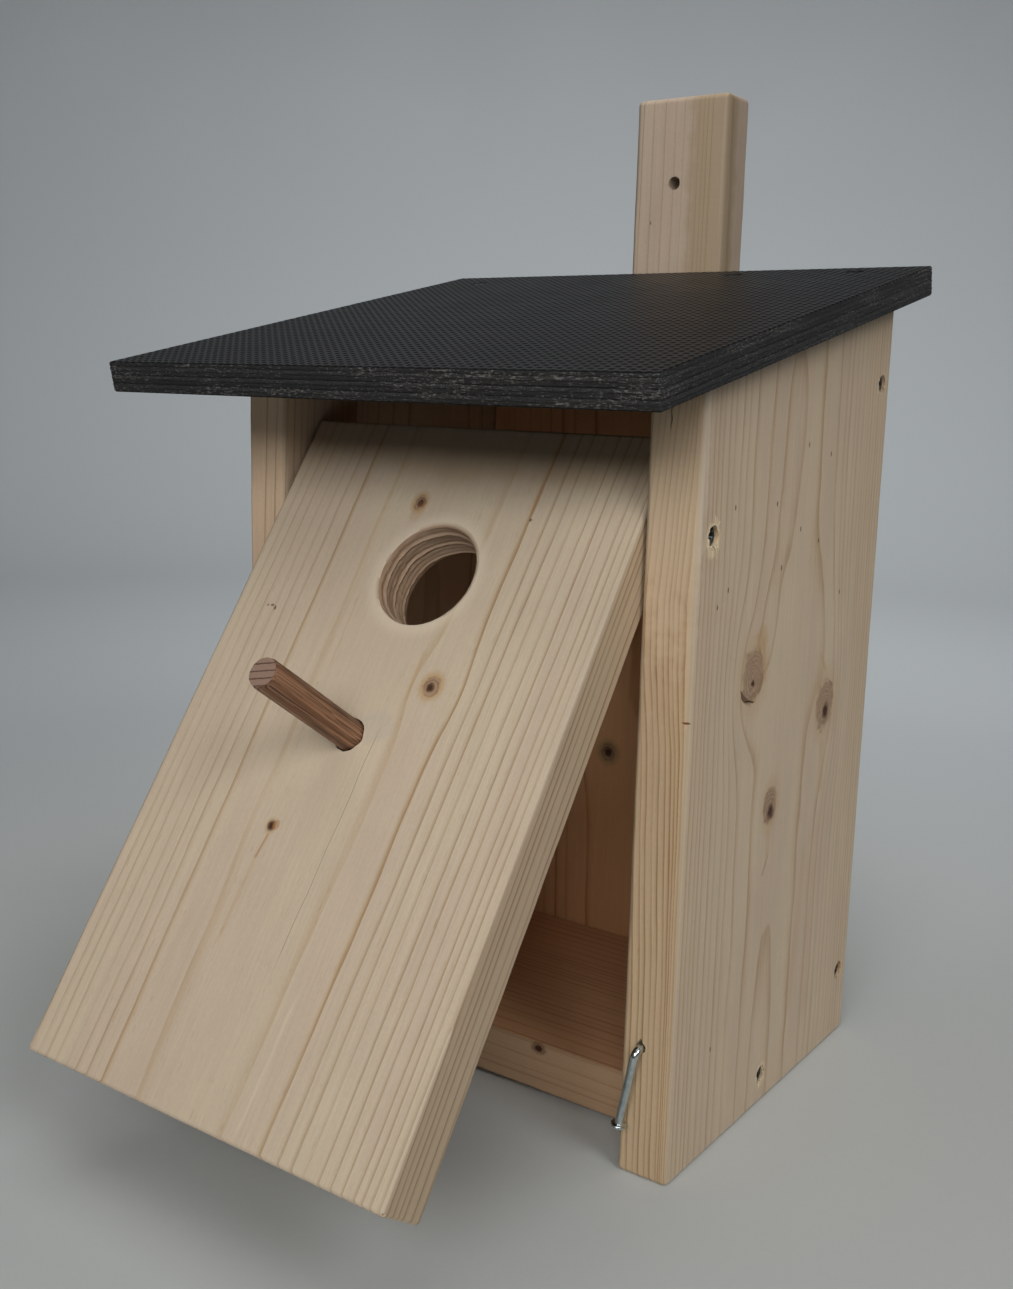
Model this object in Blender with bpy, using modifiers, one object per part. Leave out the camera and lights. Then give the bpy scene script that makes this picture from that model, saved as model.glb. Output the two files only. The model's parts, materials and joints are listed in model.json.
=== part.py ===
"""Nest box with a tilting front: a spruce box, a film-faced plywood roof, a perch, a bent-nail latch and a batten.

Metres, +Z up. The front faces -Y and +X is the right-hand side seen from the front. The origin is on the
standing surface, under the middle of the whole box with its front tilted open. The front turns on a screw
through each side board, and the bent nail turns in its hole in the right side board.
"""

import math

import bmesh
import bpy
from mathutils import Matrix, Vector

# Spruce boards and the box they make
BOARD = 0.018
INNER_WIDTH = 0.145
DEPTH = 0.142
FRONT_HEIGHT = 0.250
BACK_HEIGHT = 0.280
FLOOR_RISE = 0.002
FLOOR_SETBACK = 0.023
EDGE_RADIUS = 0.0018
JOINT_GAP = 0.0003

# Plywood roof; its front overhang is measured along the slope
ROOF_THICKNESS = 0.010
ROOF_SIDE_OVERHANG = 0.013
ROOF_FRONT_OVERHANG = 0.0495
ROOF_EDGE_RADIUS = 0.0005

# Tilting front; heights are those of the closed front
DOOR_SIDE_GAP = 0.0008
DOOR_BOTTOM = 0.0005
DOOR_TOP = 0.2315
DOOR_EDGE_RADIUS = 0.0012
PIVOT_HEIGHT = 0.204
DOOR_OPEN = math.radians(34.7)
ENTRANCE_RADIUS = 0.0175
ENTRANCE_RIM = 0.0015
ENTRANCE_X = 0.0025
ENTRANCE_HEIGHT = 0.1765
PERCH_RADIUS = 0.0050
PERCH_REACH = 0.044
PERCH_X = -0.001
PERCH_HEIGHT = 0.120
PERCH_CHAMFER = 0.0004

# Mounting batten
BATTEN_WIDTH = 0.040
BATTEN_TOP = 0.356
BATTEN_EDGE_RADIUS = 0.0022
HANGING_HOLE_RADIUS = 0.0025
HANGING_HOLE_X = -0.002
HANGING_HOLE_HEIGHT = 0.324

# Countersunk wood screws
SCREW_HEAD_RADIUS = 0.0030
SCREW_SHANK_RADIUS = 0.00175
SCREW_HEAD_RIM = 0.0004
SCREW_POINT = 0.004
SCREW_SINK = 0.0012
LONG_SCREW = 0.040
SHORT_SCREW = 0.030
RECESS_WIDTH = 0.0009
RECESS_SPAN = 0.0034
RECESS_DEPTH = 0.0014

# Screw places, from the front edges of the side boards (y) and the standing surface (z)
BACK_SCREWS = {"upper": (0.1345, 0.2490), "lower": (0.1335, 0.0265)}
FLOOR_SCREW = (0.0666, 0.0108)
ROOF_SCREWS = {"left": (-0.0800, 0.1260), "middle": (0.0327, 0.1330), "right": (0.0795, 0.1340)}
BATTEN_SCREWS = {"upper": (0.008, 0.215), "lower": (-0.008, 0.060)}

# Bent nail, hanging a little off the upright
NAIL_RADIUS = 0.0014
NAIL_X = 0.0792
NAIL_HEIGHT = 0.0440
NAIL_IN_WOOD = 0.028
NAIL_BEND_RADIUS = 0.0030
NAIL_DROP = 0.027
NAIL_LEAN = math.radians(10.0)
NAIL_POINT = 0.0035
NAIL_HEAD_RADIUS = 0.0026
NAIL_HEAD_THICKNESS = 0.0010

ROUND_STEPS = 16
ENTRANCE_STEPS = 64
CUT_REACH = 0.005

# Worked out from the dimensions above
SLOPE = math.atan2(BACK_HEIGHT - FRONT_HEIGHT, DEPTH)
OUTER_X = INNER_WIDTH / 2 + BOARD
DOOR_TOE = BOARD / 2 - math.sin(DOOR_OPEN) * (PIVOT_HEIGHT - DOOR_BOTTOM) - math.cos(DOOR_OPEN) * BOARD / 2
BATTEN_BACK = DEPTH + JOINT_GAP + BOARD
FRONT = -(DOOR_TOE + BATTEN_BACK) / 2
UP_SLOPE = Vector((0.0, math.cos(SLOPE), math.sin(SLOPE)))
ROOF_NORMAL = Vector((0.0, -math.sin(SLOPE), math.cos(SLOPE)))
EAVES = Vector((0.0, FRONT, FRONT_HEIGHT + JOINT_GAP))


def clear_scene():
    for obj in list(bpy.data.objects):
        bpy.data.objects.remove(obj)


def new_collection(name):
    collection = bpy.data.collections.new(name)
    bpy.context.scene.collection.children.link(collection)
    return collection


def new_material(name, colour, roughness, metallic=0.0):
    material = bpy.data.materials.new(name)
    material.use_nodes = True
    shader = material.node_tree.nodes["Principled BSDF"]
    shader.inputs["Base Color"].default_value = (*colour, 1.0)
    shader.inputs["Roughness"].default_value = roughness
    shader.inputs["Metallic"].default_value = metallic
    return material


def add_object(name, mesh, location=(0.0, 0.0, 0.0), parent=None):
    obj = bpy.data.objects.new(name, mesh)
    obj.location = location
    obj.parent = parent
    return obj


def add_part(name, mesh, material, location=(0.0, 0.0, 0.0), parent=None):
    obj = add_object(name, mesh, location, parent)
    if not mesh.materials:
        mesh.materials.append(material)
    PARTS.objects.link(obj)
    return obj


def add_cutter(name, mesh, location=(0.0, 0.0, 0.0), parent=None):
    obj = add_object(name, mesh, location, parent)
    obj.hide_render = True
    obj.display_type = "WIRE"
    CUTTERS.objects.link(obj)
    return obj


def block_mesh(name, size):
    bm = bmesh.new()
    bmesh.ops.create_cube(bm, size=1.0)
    bmesh.ops.scale(bm, vec=size, verts=bm.verts)
    mesh = bpy.data.meshes.new(name)
    bm.to_mesh(mesh)
    bm.free()
    return mesh


def turned_object(name, profile, steps=ROUND_STEPS):
    """A profile of (radius, z) points, from the top down the outer side, turned about Z."""
    mesh = bpy.data.meshes.new(name)
    verts = [(radius, 0.0, z) for radius, z in profile]
    edges = [(i, i + 1) for i in range(len(verts) - 1)]
    mesh.from_pydata(verts, edges, [])
    obj = bpy.data.objects.new(name, mesh)
    bpy.context.scene.collection.objects.link(obj)
    screw = obj.modifiers.new("turn", "SCREW")
    screw.axis = "Z"
    screw.steps = steps
    screw.render_steps = steps
    screw.use_merge_vertices = True
    screw.merge_threshold = 0.00001
    return obj


def difference(obj, cutter):
    modifier = obj.modifiers.new(cutter.name, "BOOLEAN")
    modifier.operation = "DIFFERENCE"
    modifier.solver = "EXACT"
    modifier.object = cutter


def soften(obj, radius, segments=2):
    bevel = obj.modifiers.new("edges", "BEVEL")
    bevel.width = radius
    bevel.segments = segments
    bevel.limit_method = "ANGLE"
    bevel.angle_limit = math.radians(30.0)


def finished_mesh(obj, name):
    """The object's mesh with its modifiers taken up, shaded smooth across its round faces."""
    bpy.context.view_layer.update()
    evaluated = obj.evaluated_get(bpy.context.evaluated_depsgraph_get())
    mesh = bpy.data.meshes.new_from_object(evaluated)
    mesh.name = name
    bm = bmesh.new()
    bm.from_mesh(mesh)
    bmesh.ops.remove_doubles(bm, verts=bm.verts, dist=0.00001)
    bm.to_mesh(mesh)
    bm.free()
    mesh.shade_smooth()
    mesh.set_sharp_from_angle(angle=math.radians(30.0))
    return mesh


def turned_mesh(name, profile, steps=ROUND_STEPS):
    obj = turned_object(name, profile, steps)
    mesh = finished_mesh(obj, name)
    bpy.data.objects.remove(obj)
    return mesh


def screw_mesh(name, length, material):
    """A countersunk screw along Z, its head's flat top at z = 0 with a cross recess."""
    neck = -SCREW_HEAD_RIM - (SCREW_HEAD_RADIUS - SCREW_SHANK_RADIUS)
    profile = [
        (0.0, 0.0),
        (SCREW_HEAD_RADIUS, 0.0),
        (SCREW_HEAD_RADIUS, -SCREW_HEAD_RIM),
        (SCREW_SHANK_RADIUS, neck),
        (SCREW_SHANK_RADIUS, SCREW_POINT - length),
        (0.0, -length),
    ]
    screw = turned_object(name, profile)
    arms = []
    for turn in (0.0, math.pi / 2):
        arm = bpy.data.objects.new("recess", block_mesh("recess", (RECESS_SPAN, RECESS_WIDTH, 2 * RECESS_DEPTH)))
        arm.rotation_euler.z = turn
        bpy.context.scene.collection.objects.link(arm)
        difference(screw, arm)
        arms.append(arm)
    mesh = finished_mesh(screw, name)
    mesh.materials.clear()
    mesh.materials.append(material)
    for obj in [screw, *arms]:
        bpy.data.objects.remove(obj)
    return mesh


def screw_hole_mesh(name, length):
    """The space a sunk screw leaves in the wood, open above its head."""
    head = SCREW_HEAD_RADIUS + JOINT_GAP
    shank = SCREW_SHANK_RADIUS + JOINT_GAP
    neck = -SCREW_HEAD_RIM - JOINT_GAP - (head - shank)
    profile = [
        (0.0, CUT_REACH),
        (head, CUT_REACH),
        (head, -SCREW_HEAD_RIM - JOINT_GAP),
        (shank, neck),
        (shank, -length - JOINT_GAP),
        (0.0, -length - JOINT_GAP),
    ]
    return turned_mesh(name, profile)


def axis_rotation(direction):
    """The rotation that carries +Z to a direction."""
    return Vector(direction).to_track_quat("Z", "Y").to_euler()


def drive_screw(name, length, surface, outward, boards, material):
    """Sinks a screw below a surface point; outward points away from the wood. Boards are cut for it."""
    outward = Vector(outward)
    seat = Vector(surface) - SCREW_SINK * outward
    screw = add_part(name, SCREW_MESHES[length], material, seat)
    screw.rotation_euler = axis_rotation(outward)
    hole = add_cutter(name + "_hole", SCREW_HOLE_MESHES[length], seat)
    hole.rotation_euler = screw.rotation_euler
    for board in boards:
        difference(board, hole)
    return screw


def spruce_board(name, low, high, edge_radius, material, top_cutter=None):
    """A planed board between two corners, its top sawn along the roof slope if a cutter is given."""
    low = Vector(low)
    high = Vector(high)
    board = add_part(name, block_mesh(name, high - low), material, (low + high) / 2)
    if top_cutter:
        difference(board, top_cutter)
    soften(board, edge_radius)
    return board


def roof_slope_cutter():
    """Everything above the side boards' sloping tops."""
    size = Vector((2 * INNER_WIDTH, 3 * DEPTH, DEPTH))
    cutter = add_cutter("roof_slope_cutter", block_mesh("roof_slope_cutter", size))
    cutter.rotation_euler.x = SLOPE
    cutter.location = Vector((0.0, FRONT, FRONT_HEIGHT)) + ROOF_NORMAL * size.z / 2
    return cutter


def build_box():
    slope = roof_slope_cutter()
    boards = {}
    for side, sign in (("left", -1), ("right", 1)):
        inner, outer = sorted((sign * INNER_WIDTH / 2, sign * OUTER_X))
        boards[side] = spruce_board(
            side + "_side_panel",
            (inner, FRONT, 0.0),
            (outer, FRONT + DEPTH, BACK_HEIGHT + BOARD),
            EDGE_RADIUS,
            SPRUCE,
            slope,
        )
    half_inner = INNER_WIDTH / 2 - JOINT_GAP
    boards["back"] = spruce_board(
        "back_panel",
        (-half_inner, FRONT + DEPTH - BOARD, 0.0),
        (half_inner, FRONT + DEPTH, BACK_HEIGHT + BOARD),
        JOINT_GAP * 2,
        SPRUCE_DARK,
        slope,
    )
    boards["floor"] = spruce_board(
        "floor_panel",
        (-half_inner, FRONT + FLOOR_SETBACK, FLOOR_RISE),
        (half_inner, FRONT + DEPTH - BOARD - JOINT_GAP, FLOOR_RISE + BOARD),
        JOINT_GAP * 2,
        SPRUCE_DARK,
    )
    boards["batten"] = spruce_board(
        "mounting_batten",
        (-BATTEN_WIDTH / 2, FRONT + DEPTH + JOINT_GAP, 0.0),
        (BATTEN_WIDTH / 2, FRONT + BATTEN_BACK, BATTEN_TOP),
        BATTEN_EDGE_RADIUS,
        SPRUCE,
    )
    reach = BOARD + CUT_REACH
    profile = [(0.0, reach), (HANGING_HOLE_RADIUS, reach), (HANGING_HOLE_RADIUS, -reach), (0.0, -reach)]
    hole_mesh = turned_mesh("hanging_hole", profile)
    hole = add_cutter("hanging_hole", hole_mesh, (HANGING_HOLE_X, FRONT + BATTEN_BACK, HANGING_HOLE_HEIGHT))
    hole.rotation_euler = axis_rotation((0.0, 1.0, 0.0))
    difference(boards["batten"], hole)
    return boards


def build_roof():
    length = DEPTH / math.cos(SLOPE) + ROOF_FRONT_OVERHANG
    size = Vector((2 * (OUTER_X + ROOF_SIDE_OVERHANG), length, ROOF_THICKNESS))
    middle = EAVES + UP_SLOPE * (length / 2 - ROOF_FRONT_OVERHANG) + ROOF_NORMAL * ROOF_THICKNESS / 2
    roof = add_part("roof_panel", block_mesh("roof_panel", size), FILM_PLYWOOD, middle)
    roof.rotation_euler.x = SLOPE
    soften(roof, ROOF_EDGE_RADIUS, 1)
    return roof


def entrance_cutter(hinge):
    """A bore with a rounded rim at each face of the front board."""
    half = BOARD / 2
    arc = [math.radians(angle) for angle in (0.0, 30.0, 60.0, 90.0)]
    rim_radius = ENTRANCE_RADIUS + ENTRANCE_RIM
    upper = [
        (rim_radius - ENTRANCE_RIM * math.sin(a), half - ENTRANCE_RIM + ENTRANCE_RIM * math.cos(a)) for a in arc
    ]
    lower = [(radius, -z) for radius, z in reversed(upper)]
    reach = half + CUT_REACH
    profile = [(0.0, reach), (rim_radius, reach), *upper, *lower, (rim_radius, -reach), (0.0, -reach)]
    mesh = turned_mesh("entrance_cutter", profile, ENTRANCE_STEPS)
    cutter = add_cutter("entrance_cutter", mesh, (ENTRANCE_X, 0.0, ENTRANCE_HEIGHT - PIVOT_HEIGHT), hinge)
    cutter.rotation_euler = axis_rotation((0.0, 1.0, 0.0))
    return cutter


def build_front():
    """The tilting front and its perch, in the frame of the hinge, where the closed front hangs down -Z."""
    hinge = bpy.data.objects.new("door_hinge", None)
    hinge.location = (0.0, FRONT + BOARD / 2, PIVOT_HEIGHT)
    hinge.rotation_euler.x = -DOOR_OPEN
    PARTS.objects.link(hinge)

    width = INNER_WIDTH - 2 * DOOR_SIDE_GAP
    mesh = block_mesh("front_door", (width, BOARD, DOOR_TOP - DOOR_BOTTOM))
    mesh.transform(Matrix.Translation((0.0, 0.0, (DOOR_TOP + DOOR_BOTTOM) / 2 - PIVOT_HEIGHT)))
    door = add_part("front_door", mesh, SPRUCE, parent=hinge)
    soften(door, DOOR_EDGE_RADIUS)
    difference(door, entrance_cutter(hinge))

    inner_end = BOARD / 2 - PERCH_CHAMFER
    outer_end = -BOARD / 2 - PERCH_REACH
    profile = [
        (0.0, inner_end),
        (PERCH_RADIUS, inner_end),
        (PERCH_RADIUS, outer_end + PERCH_CHAMFER),
        (PERCH_RADIUS - PERCH_CHAMFER, outer_end),
        (0.0, outer_end),
    ]
    place = (PERCH_X, 0.0, PERCH_HEIGHT - PIVOT_HEIGHT)
    perch = add_part("perch_dowel", turned_mesh("perch_dowel", profile, 2 * ROUND_STEPS), HARDWOOD, place, hinge)
    perch.rotation_euler = axis_rotation((0.0, 1.0, 0.0))
    reach = BOARD / 2 + CUT_REACH
    radius = PERCH_RADIUS + JOINT_GAP
    bore = turned_mesh(
        "perch_bore", [(0.0, reach), (radius, reach), (radius, -reach), (0.0, -reach)], 2 * ROUND_STEPS
    )
    cutter = add_cutter("perch_bore", bore, place, hinge)
    cutter.rotation_euler = perch.rotation_euler
    difference(door, cutter)
    return door


def nail_path():
    """Points along the nail's centre line, from its point in the wood round the bend to its head."""
    arc = [math.radians(angle) for angle in range(0, 91, 15)]
    straight_in = [(0.0, NAIL_IN_WOOD, 0.0), (0.0, NAIL_IN_WOOD - NAIL_POINT, 0.0)]
    bend = [
        (0.0, -NAIL_BEND_RADIUS * math.sin(a), -NAIL_BEND_RADIUS * (1 - math.cos(a))) for a in arc
    ]
    return [*straight_in, *bend, (0.0, -NAIL_BEND_RADIUS, -NAIL_DROP)]


def build_nail(right_board):
    """The bent nail, in the frame of its hole, and the hole in the right side board."""
    pivot = bpy.data.objects.new("latch_pivot", None)
    pivot.location = (NAIL_X, FRONT, NAIL_HEIGHT)
    pivot.rotation_euler.y = NAIL_LEAN
    PARTS.objects.link(pivot)

    curve = bpy.data.curves.new("latch_nail", "CURVE")
    curve.dimensions = "3D"
    curve.bevel_depth = NAIL_RADIUS
    curve.bevel_resolution = 2
    curve.use_fill_caps = True
    spline = curve.splines.new("POLY")
    path = nail_path()
    spline.points.add(len(path) - 1)
    for point, place in zip(spline.points, path):
        point.co = (*place, 1.0)
    spline.points[0].radius = 0.1
    wire = bpy.data.objects.new("nail_wire", curve)
    bpy.context.scene.collection.objects.link(wire)
    mesh = finished_mesh(wire, "latch_nail")
    bpy.data.objects.remove(wire)
    nail = add_part("latch_nail", mesh, ZINC, parent=pivot)

    top = -NAIL_DROP + NAIL_HEAD_THICKNESS
    profile = [
        (0.0, top),
        (NAIL_HEAD_RADIUS, top),
        (NAIL_HEAD_RADIUS, -NAIL_DROP - NAIL_HEAD_THICKNESS / 4),
        (0.0, -NAIL_DROP - NAIL_HEAD_THICKNESS / 4),
    ]
    head = add_cutter("nail_head", turned_mesh("nail_head", profile), (0.0, -NAIL_BEND_RADIUS, 0.0), pivot)
    union = nail.modifiers.new("head", "BOOLEAN")
    union.operation = "UNION"
    union.solver = "EXACT"
    union.object = head

    radius = NAIL_RADIUS + JOINT_GAP
    depth = NAIL_IN_WOOD + JOINT_GAP
    bore_mesh = turned_mesh("nail_bore", [(0.0, CUT_REACH), (radius, CUT_REACH), (radius, -depth), (0.0, -depth)])
    bore = add_cutter("nail_bore", bore_mesh, pivot.location)
    bore.rotation_euler = axis_rotation((0.0, -1.0, 0.0))
    difference(right_board, bore)
    return nail


def roof_point(x, distance):
    """A point on the roof's top face, a distance up the slope from above the front edges."""
    return Vector((x, 0.0, 0.0)) + EAVES + UP_SLOPE * distance + ROOF_NORMAL * ROOF_THICKNESS


def fasten(boards, roof, door):
    pivot_y = FRONT + BOARD / 2
    for side, sign in (("left", -1), ("right", 1)):
        board = boards[side]
        outward = (sign, 0.0, 0.0)
        face_x = sign * OUTER_X
        pivot = (face_x, pivot_y, PIVOT_HEIGHT)
        drive_screw(f"pivot_screw_{side}", LONG_SCREW, pivot, outward, [board, door], ZINC)
        for level, (y, z) in BACK_SCREWS.items():
            name = f"back_screw_{side}_{level}"
            drive_screw(name, LONG_SCREW, (face_x, FRONT + y, z), outward, [board, boards["back"]], ZINC)
        y, z = FLOOR_SCREW
        name = f"floor_screw_{side}"
        drive_screw(name, LONG_SCREW, (face_x, FRONT + y, z), outward, [board, boards["floor"]], ZINC)
    under_roof = {"left": boards["left"], "middle": boards["back"], "right": boards["right"]}
    for place, (x, distance) in ROOF_SCREWS.items():
        surface = roof_point(x, distance)
        drive_screw(f"roof_screw_{place}", SHORT_SCREW, surface, ROOF_NORMAL, [roof, under_roof[place]], ZINC)
    for level, (x, z) in BATTEN_SCREWS.items():
        surface = (x, FRONT + BATTEN_BACK, z)
        held = [boards["batten"], boards["back"]]
        drive_screw(f"batten_screw_{level}", SHORT_SCREW, surface, (0.0, 1.0, 0.0), held, ZINC)


clear_scene()
PARTS = new_collection("birdhouse")
CUTTERS = new_collection("cutters")
SPRUCE = new_material("spruce", (0.62, 0.47, 0.32), 0.62)
SPRUCE_DARK = new_material("spruce_inside", (0.50, 0.34, 0.20), 0.66)
FILM_PLYWOOD = new_material("film_faced_plywood", (0.025, 0.025, 0.026), 0.50)
HARDWOOD = new_material("reddish_hardwood", (0.30, 0.14, 0.07), 0.55)
ZINC = new_material("zinc_plated_steel", (0.62, 0.64, 0.66), 0.32, 1.0)
SCREW_MESHES = {
    length: screw_mesh(f"screw_{length * 1000:.0f}", length, ZINC) for length in (LONG_SCREW, SHORT_SCREW)
}
SCREW_HOLE_MESHES = {
    length: screw_hole_mesh(f"screw_hole_{length * 1000:.0f}", length) for length in (LONG_SCREW, SHORT_SCREW)
}

box_boards = build_box()
roof_panel = build_roof()
front_door = build_front()
build_nail(box_boards["right"])
fasten(box_boards, roof_panel, front_door)
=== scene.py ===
"""How the nest box looks: planed spruce boards, a mesh-faced plywood roof, a dowel perch and a bent nail.

The mesh code works in metres and the materials in millimetres. Every board is modelled in a frame
of its own with its grain along Z, so that the growth rings are solid in the wood and stay there
when the board moves.
"""

import json
import math
import random
from typing import NamedTuple

import bmesh
import bpy
from mathutils import Matrix, Vector, noise


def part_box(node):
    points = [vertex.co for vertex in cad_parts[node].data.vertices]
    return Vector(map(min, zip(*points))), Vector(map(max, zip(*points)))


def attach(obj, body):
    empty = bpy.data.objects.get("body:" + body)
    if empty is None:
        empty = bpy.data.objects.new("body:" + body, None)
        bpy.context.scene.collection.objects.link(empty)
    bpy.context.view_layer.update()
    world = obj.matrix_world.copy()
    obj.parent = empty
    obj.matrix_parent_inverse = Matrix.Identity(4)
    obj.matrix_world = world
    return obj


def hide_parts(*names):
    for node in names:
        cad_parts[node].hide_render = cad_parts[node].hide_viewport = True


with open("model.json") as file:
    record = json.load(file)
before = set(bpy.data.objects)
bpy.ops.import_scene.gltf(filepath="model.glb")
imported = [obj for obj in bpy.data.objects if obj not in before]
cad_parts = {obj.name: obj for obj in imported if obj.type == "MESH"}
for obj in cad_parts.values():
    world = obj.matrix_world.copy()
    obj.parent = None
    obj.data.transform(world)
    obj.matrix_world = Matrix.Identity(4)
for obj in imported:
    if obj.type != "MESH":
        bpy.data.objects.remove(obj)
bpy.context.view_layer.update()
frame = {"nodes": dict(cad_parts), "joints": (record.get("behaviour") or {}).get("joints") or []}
NODES = frame["nodes"]
JOINTS = {joint["name"]: joint for joint in frame["joints"]}

MM = 0.001
X_AXIS = Vector((1, 0, 0))
Y_AXIS = Vector((0, 1, 0))
Z_AXIS = Vector((0, 0, 1))


# ---------------------------------------------------------------- places, from the frame


def local_box(node, place):
    """Lowest and highest corner of a CAD node, in the frame of a placement."""
    inverse = place.inverted()
    points = [inverse @ vertex.co for vertex in NODES[node].data.vertices]
    low = Vector([min(point[axis] for point in points) for axis in range(3)])
    high = Vector([max(point[axis] for point in points) for axis in range(3)])
    return low, high


def facing(direction, place=(0, 0, 0)):
    """A placement whose Z points along a direction."""
    return Matrix.Translation(place) @ Vector(direction).to_track_quat("Z", "Y").to_matrix().to_4x4()


def roof_slope():
    top = max(NODES["roof_panel"].data.polygons, key=lambda face: face.area)
    return math.atan2(abs(top.normal.y), abs(top.normal.z))


SLOPE = roof_slope()
ROOF_NORMAL = Vector((0, -math.sin(SLOPE), math.cos(SLOPE)))
hinge_joint = JOINTS["door_hinge"]
CLOSED = math.radians(hinge_joint["range_deg"][0])
HINGE = Matrix.Translation(hinge_joint["pos_m"]) @ Matrix.Rotation(CLOSED, 4, "X")
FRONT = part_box("right_side_panel")[0].y


# ---------------------------------------------------------------- mesh helpers


def mesh_from(name, verts, faces):
    mesh = bpy.data.meshes.new(name)
    mesh.from_pydata(verts, [], faces)
    mesh.update()
    return mesh


def tidy_mesh(mesh):
    """Turns every face outward."""
    bm = bmesh.new()
    bm.from_mesh(mesh)
    bmesh.ops.recalc_face_normals(bm, faces=bm.faces)
    bm.to_mesh(mesh)
    bm.free()
    return mesh


def loft(name, rings):
    """A closed solid over rings of the same number of points, with both ends filled."""
    count = len(rings[0])
    verts = [point for ring in rings for point in ring]
    faces = []
    for row in range(len(rings) - 1):
        for i in range(count):
            j = (i + 1) % count
            a = row * count
            b = a + count
            faces.append((a + i, a + j, b + j, b + i))
    faces.append(tuple(reversed(range(count))))
    faces.append(tuple(range((len(rings) - 1) * count, len(rings) * count)))
    return tidy_mesh(mesh_from(name, verts, faces))


def at_angle(radius, angle, z):
    return (radius * math.cos(angle), radius * math.sin(angle), z)


def turned(name, profile, steps=32, wobble=0, seed=0):
    """A solid turned about Z over (radius, z) points, uneven by wobble as a share of the radius."""
    rings = []
    for radius, z in profile:
        ring = []
        for step in range(steps):
            angle = 2 * math.pi * step / steps
            ripple = noise.noise((2.2 * math.cos(angle) + seed, 2.2 * math.sin(angle), z / (3 * MM)))
            reach = radius * (1 + wobble * ripple)
            ring.append(at_angle(reach, angle, z))
        rings.append(ring)
    return loft(name, rings)


def taken_out(mesh, cutters):
    """The mesh with the cutter meshes taken out of it, one after the other."""
    body = new_object(mesh.name, mesh)
    tools = []
    for cutter in cutters:
        tool = new_object("cutter", cutter)
        modifier = body.modifiers.new("cut", "BOOLEAN")
        modifier.operation = "DIFFERENCE"
        modifier.solver = "EXACT"
        modifier.object = tool
        tools.append(tool)
    bpy.context.view_layer.update()
    evaluated = body.evaluated_get(bpy.context.evaluated_depsgraph_get())
    result = bpy.data.meshes.new_from_object(evaluated)
    result.name = mesh.name
    for obj in [body, *tools]:
        bpy.data.objects.remove(obj)
    return result


def moved(mesh, place):
    copy = mesh.copy()
    copy.transform(place)
    return copy


def rounded_outline(half_x, half_y, radii, steps=5):
    """Points round a rectangle with a radius for each corner, from the +X +Y one anticlockwise."""
    points = []
    corners = [(1, 1), (-1, 1), (-1, -1), (1, -1)]
    for index, (sx, sy) in enumerate(corners):
        radius = radii[index]
        for step in range(steps + 1):
            angle = math.radians(90 * (index + step / steps))
            x = sx * (half_x - radius) + radius * math.cos(angle)
            y = sy * (half_y - radius) + radius * math.sin(angle)
            points.append((x, y))
    return points


def board_mesh(name, low, high, radius, rise=0, seed=0, unevenness=0.2, sections=44):
    """A planed board along Z with softened edges that vary a little; rise tilts its top up towards +Y."""
    centre = (low + high) / 2
    half = (high - low) / 2
    turn = [math.radians(angle) for angle in (0, 22.5, 45, 67.5, 90)]
    end = [(radius * (1 - math.sin(a)), radius * (1 - math.cos(a))) for a in turn]
    stations = [(inset, drop, 0) for inset, drop in end]
    stations += [(0, 0, step / sections) for step in range(1, sections)]
    stations += [(inset, -drop, 1) for inset, drop in reversed(end)]
    rings = []
    for inset, drop, share in stations:
        radii = []
        for corner in range(4):
            along = share * (high.z - low.z) / (18 * MM)
            varied = radius * (1 + unevenness * noise.noise((along, 5.3 * corner, seed)))
            radii.append(max(varied - inset, 0.02 * MM))
        ring = []
        for x, y in rounded_outline(half.x - inset, half.y - inset, radii):
            top = high.z - rise * (half.y - y) / (2 * half.y)
            length = top - low.z
            base = low.z + share * length
            room = 2 * radius / length
            shift = drop if share in (0, 1) else radius * (1 - 2 * share) * room
            ring.append((centre.x + x, centre.y + y, base + shift))
        rings.append(ring)
    return loft(name, rings)


def groove(points, widths, depth, place):
    """A cutter for a crack along (u, v) points on a face; place carries u, v and outward to X, Y, Z."""
    rings = []
    for index, (u, v) in enumerate(points):
        before = Vector(points[max(index - 1, 0)])
        after = Vector(points[min(index + 1, len(points) - 1)])
        along = (after - before).normalized()
        side = Vector((-along.y, along.x)) * widths[index] / 2
        ring = []
        for sign, height, share in ((1, MM, 1), (-1, MM, 1), (-1, -depth, 0.3), (1, -depth, 0.3)):
            ring.append(place @ Vector((u + sign * side.x * share, v + sign * side.y * share, height)))
        rings.append(ring)
    return loft("groove", rings)


def shade(mesh, angle=32):
    mesh.shade_smooth()
    mesh.set_sharp_from_angle(angle=math.radians(angle))


def flatten(piece):
    """Gives the big flat faces their own normals, so that rounded edges don't bend the light on them."""
    modifier = piece.modifiers.new("flat_faces", "WEIGHTED_NORMAL")
    modifier.mode = "FACE_AREA"
    modifier.weight = 90
    modifier.keep_sharp = True
    return piece


def new_object(name, data):
    thing = bpy.data.objects.new(name, data)
    bpy.context.scene.collection.objects.link(thing)
    return thing


def add_piece(name, mesh, materials, place, body, slot, *nodes):
    """Puts a piece in the scene on its CAD body, standing for the CAD nodes named."""
    piece = new_object(name, mesh)
    piece.matrix_world = place
    if not mesh.materials:
        for material in materials:
            mesh.materials.append(material)
    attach(piece, body)
    if nodes:
        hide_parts(*nodes)
    return piece


# ---------------------------------------------------------------- material helpers


class Value:
    """A number or colour inside a material. Arithmetic on it adds math nodes."""

    def __init__(self, graph, socket):
        self.graph = graph
        self.socket = socket

    def __abs__(self):
        return self.graph.math("ABSOLUTE", self)


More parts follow.
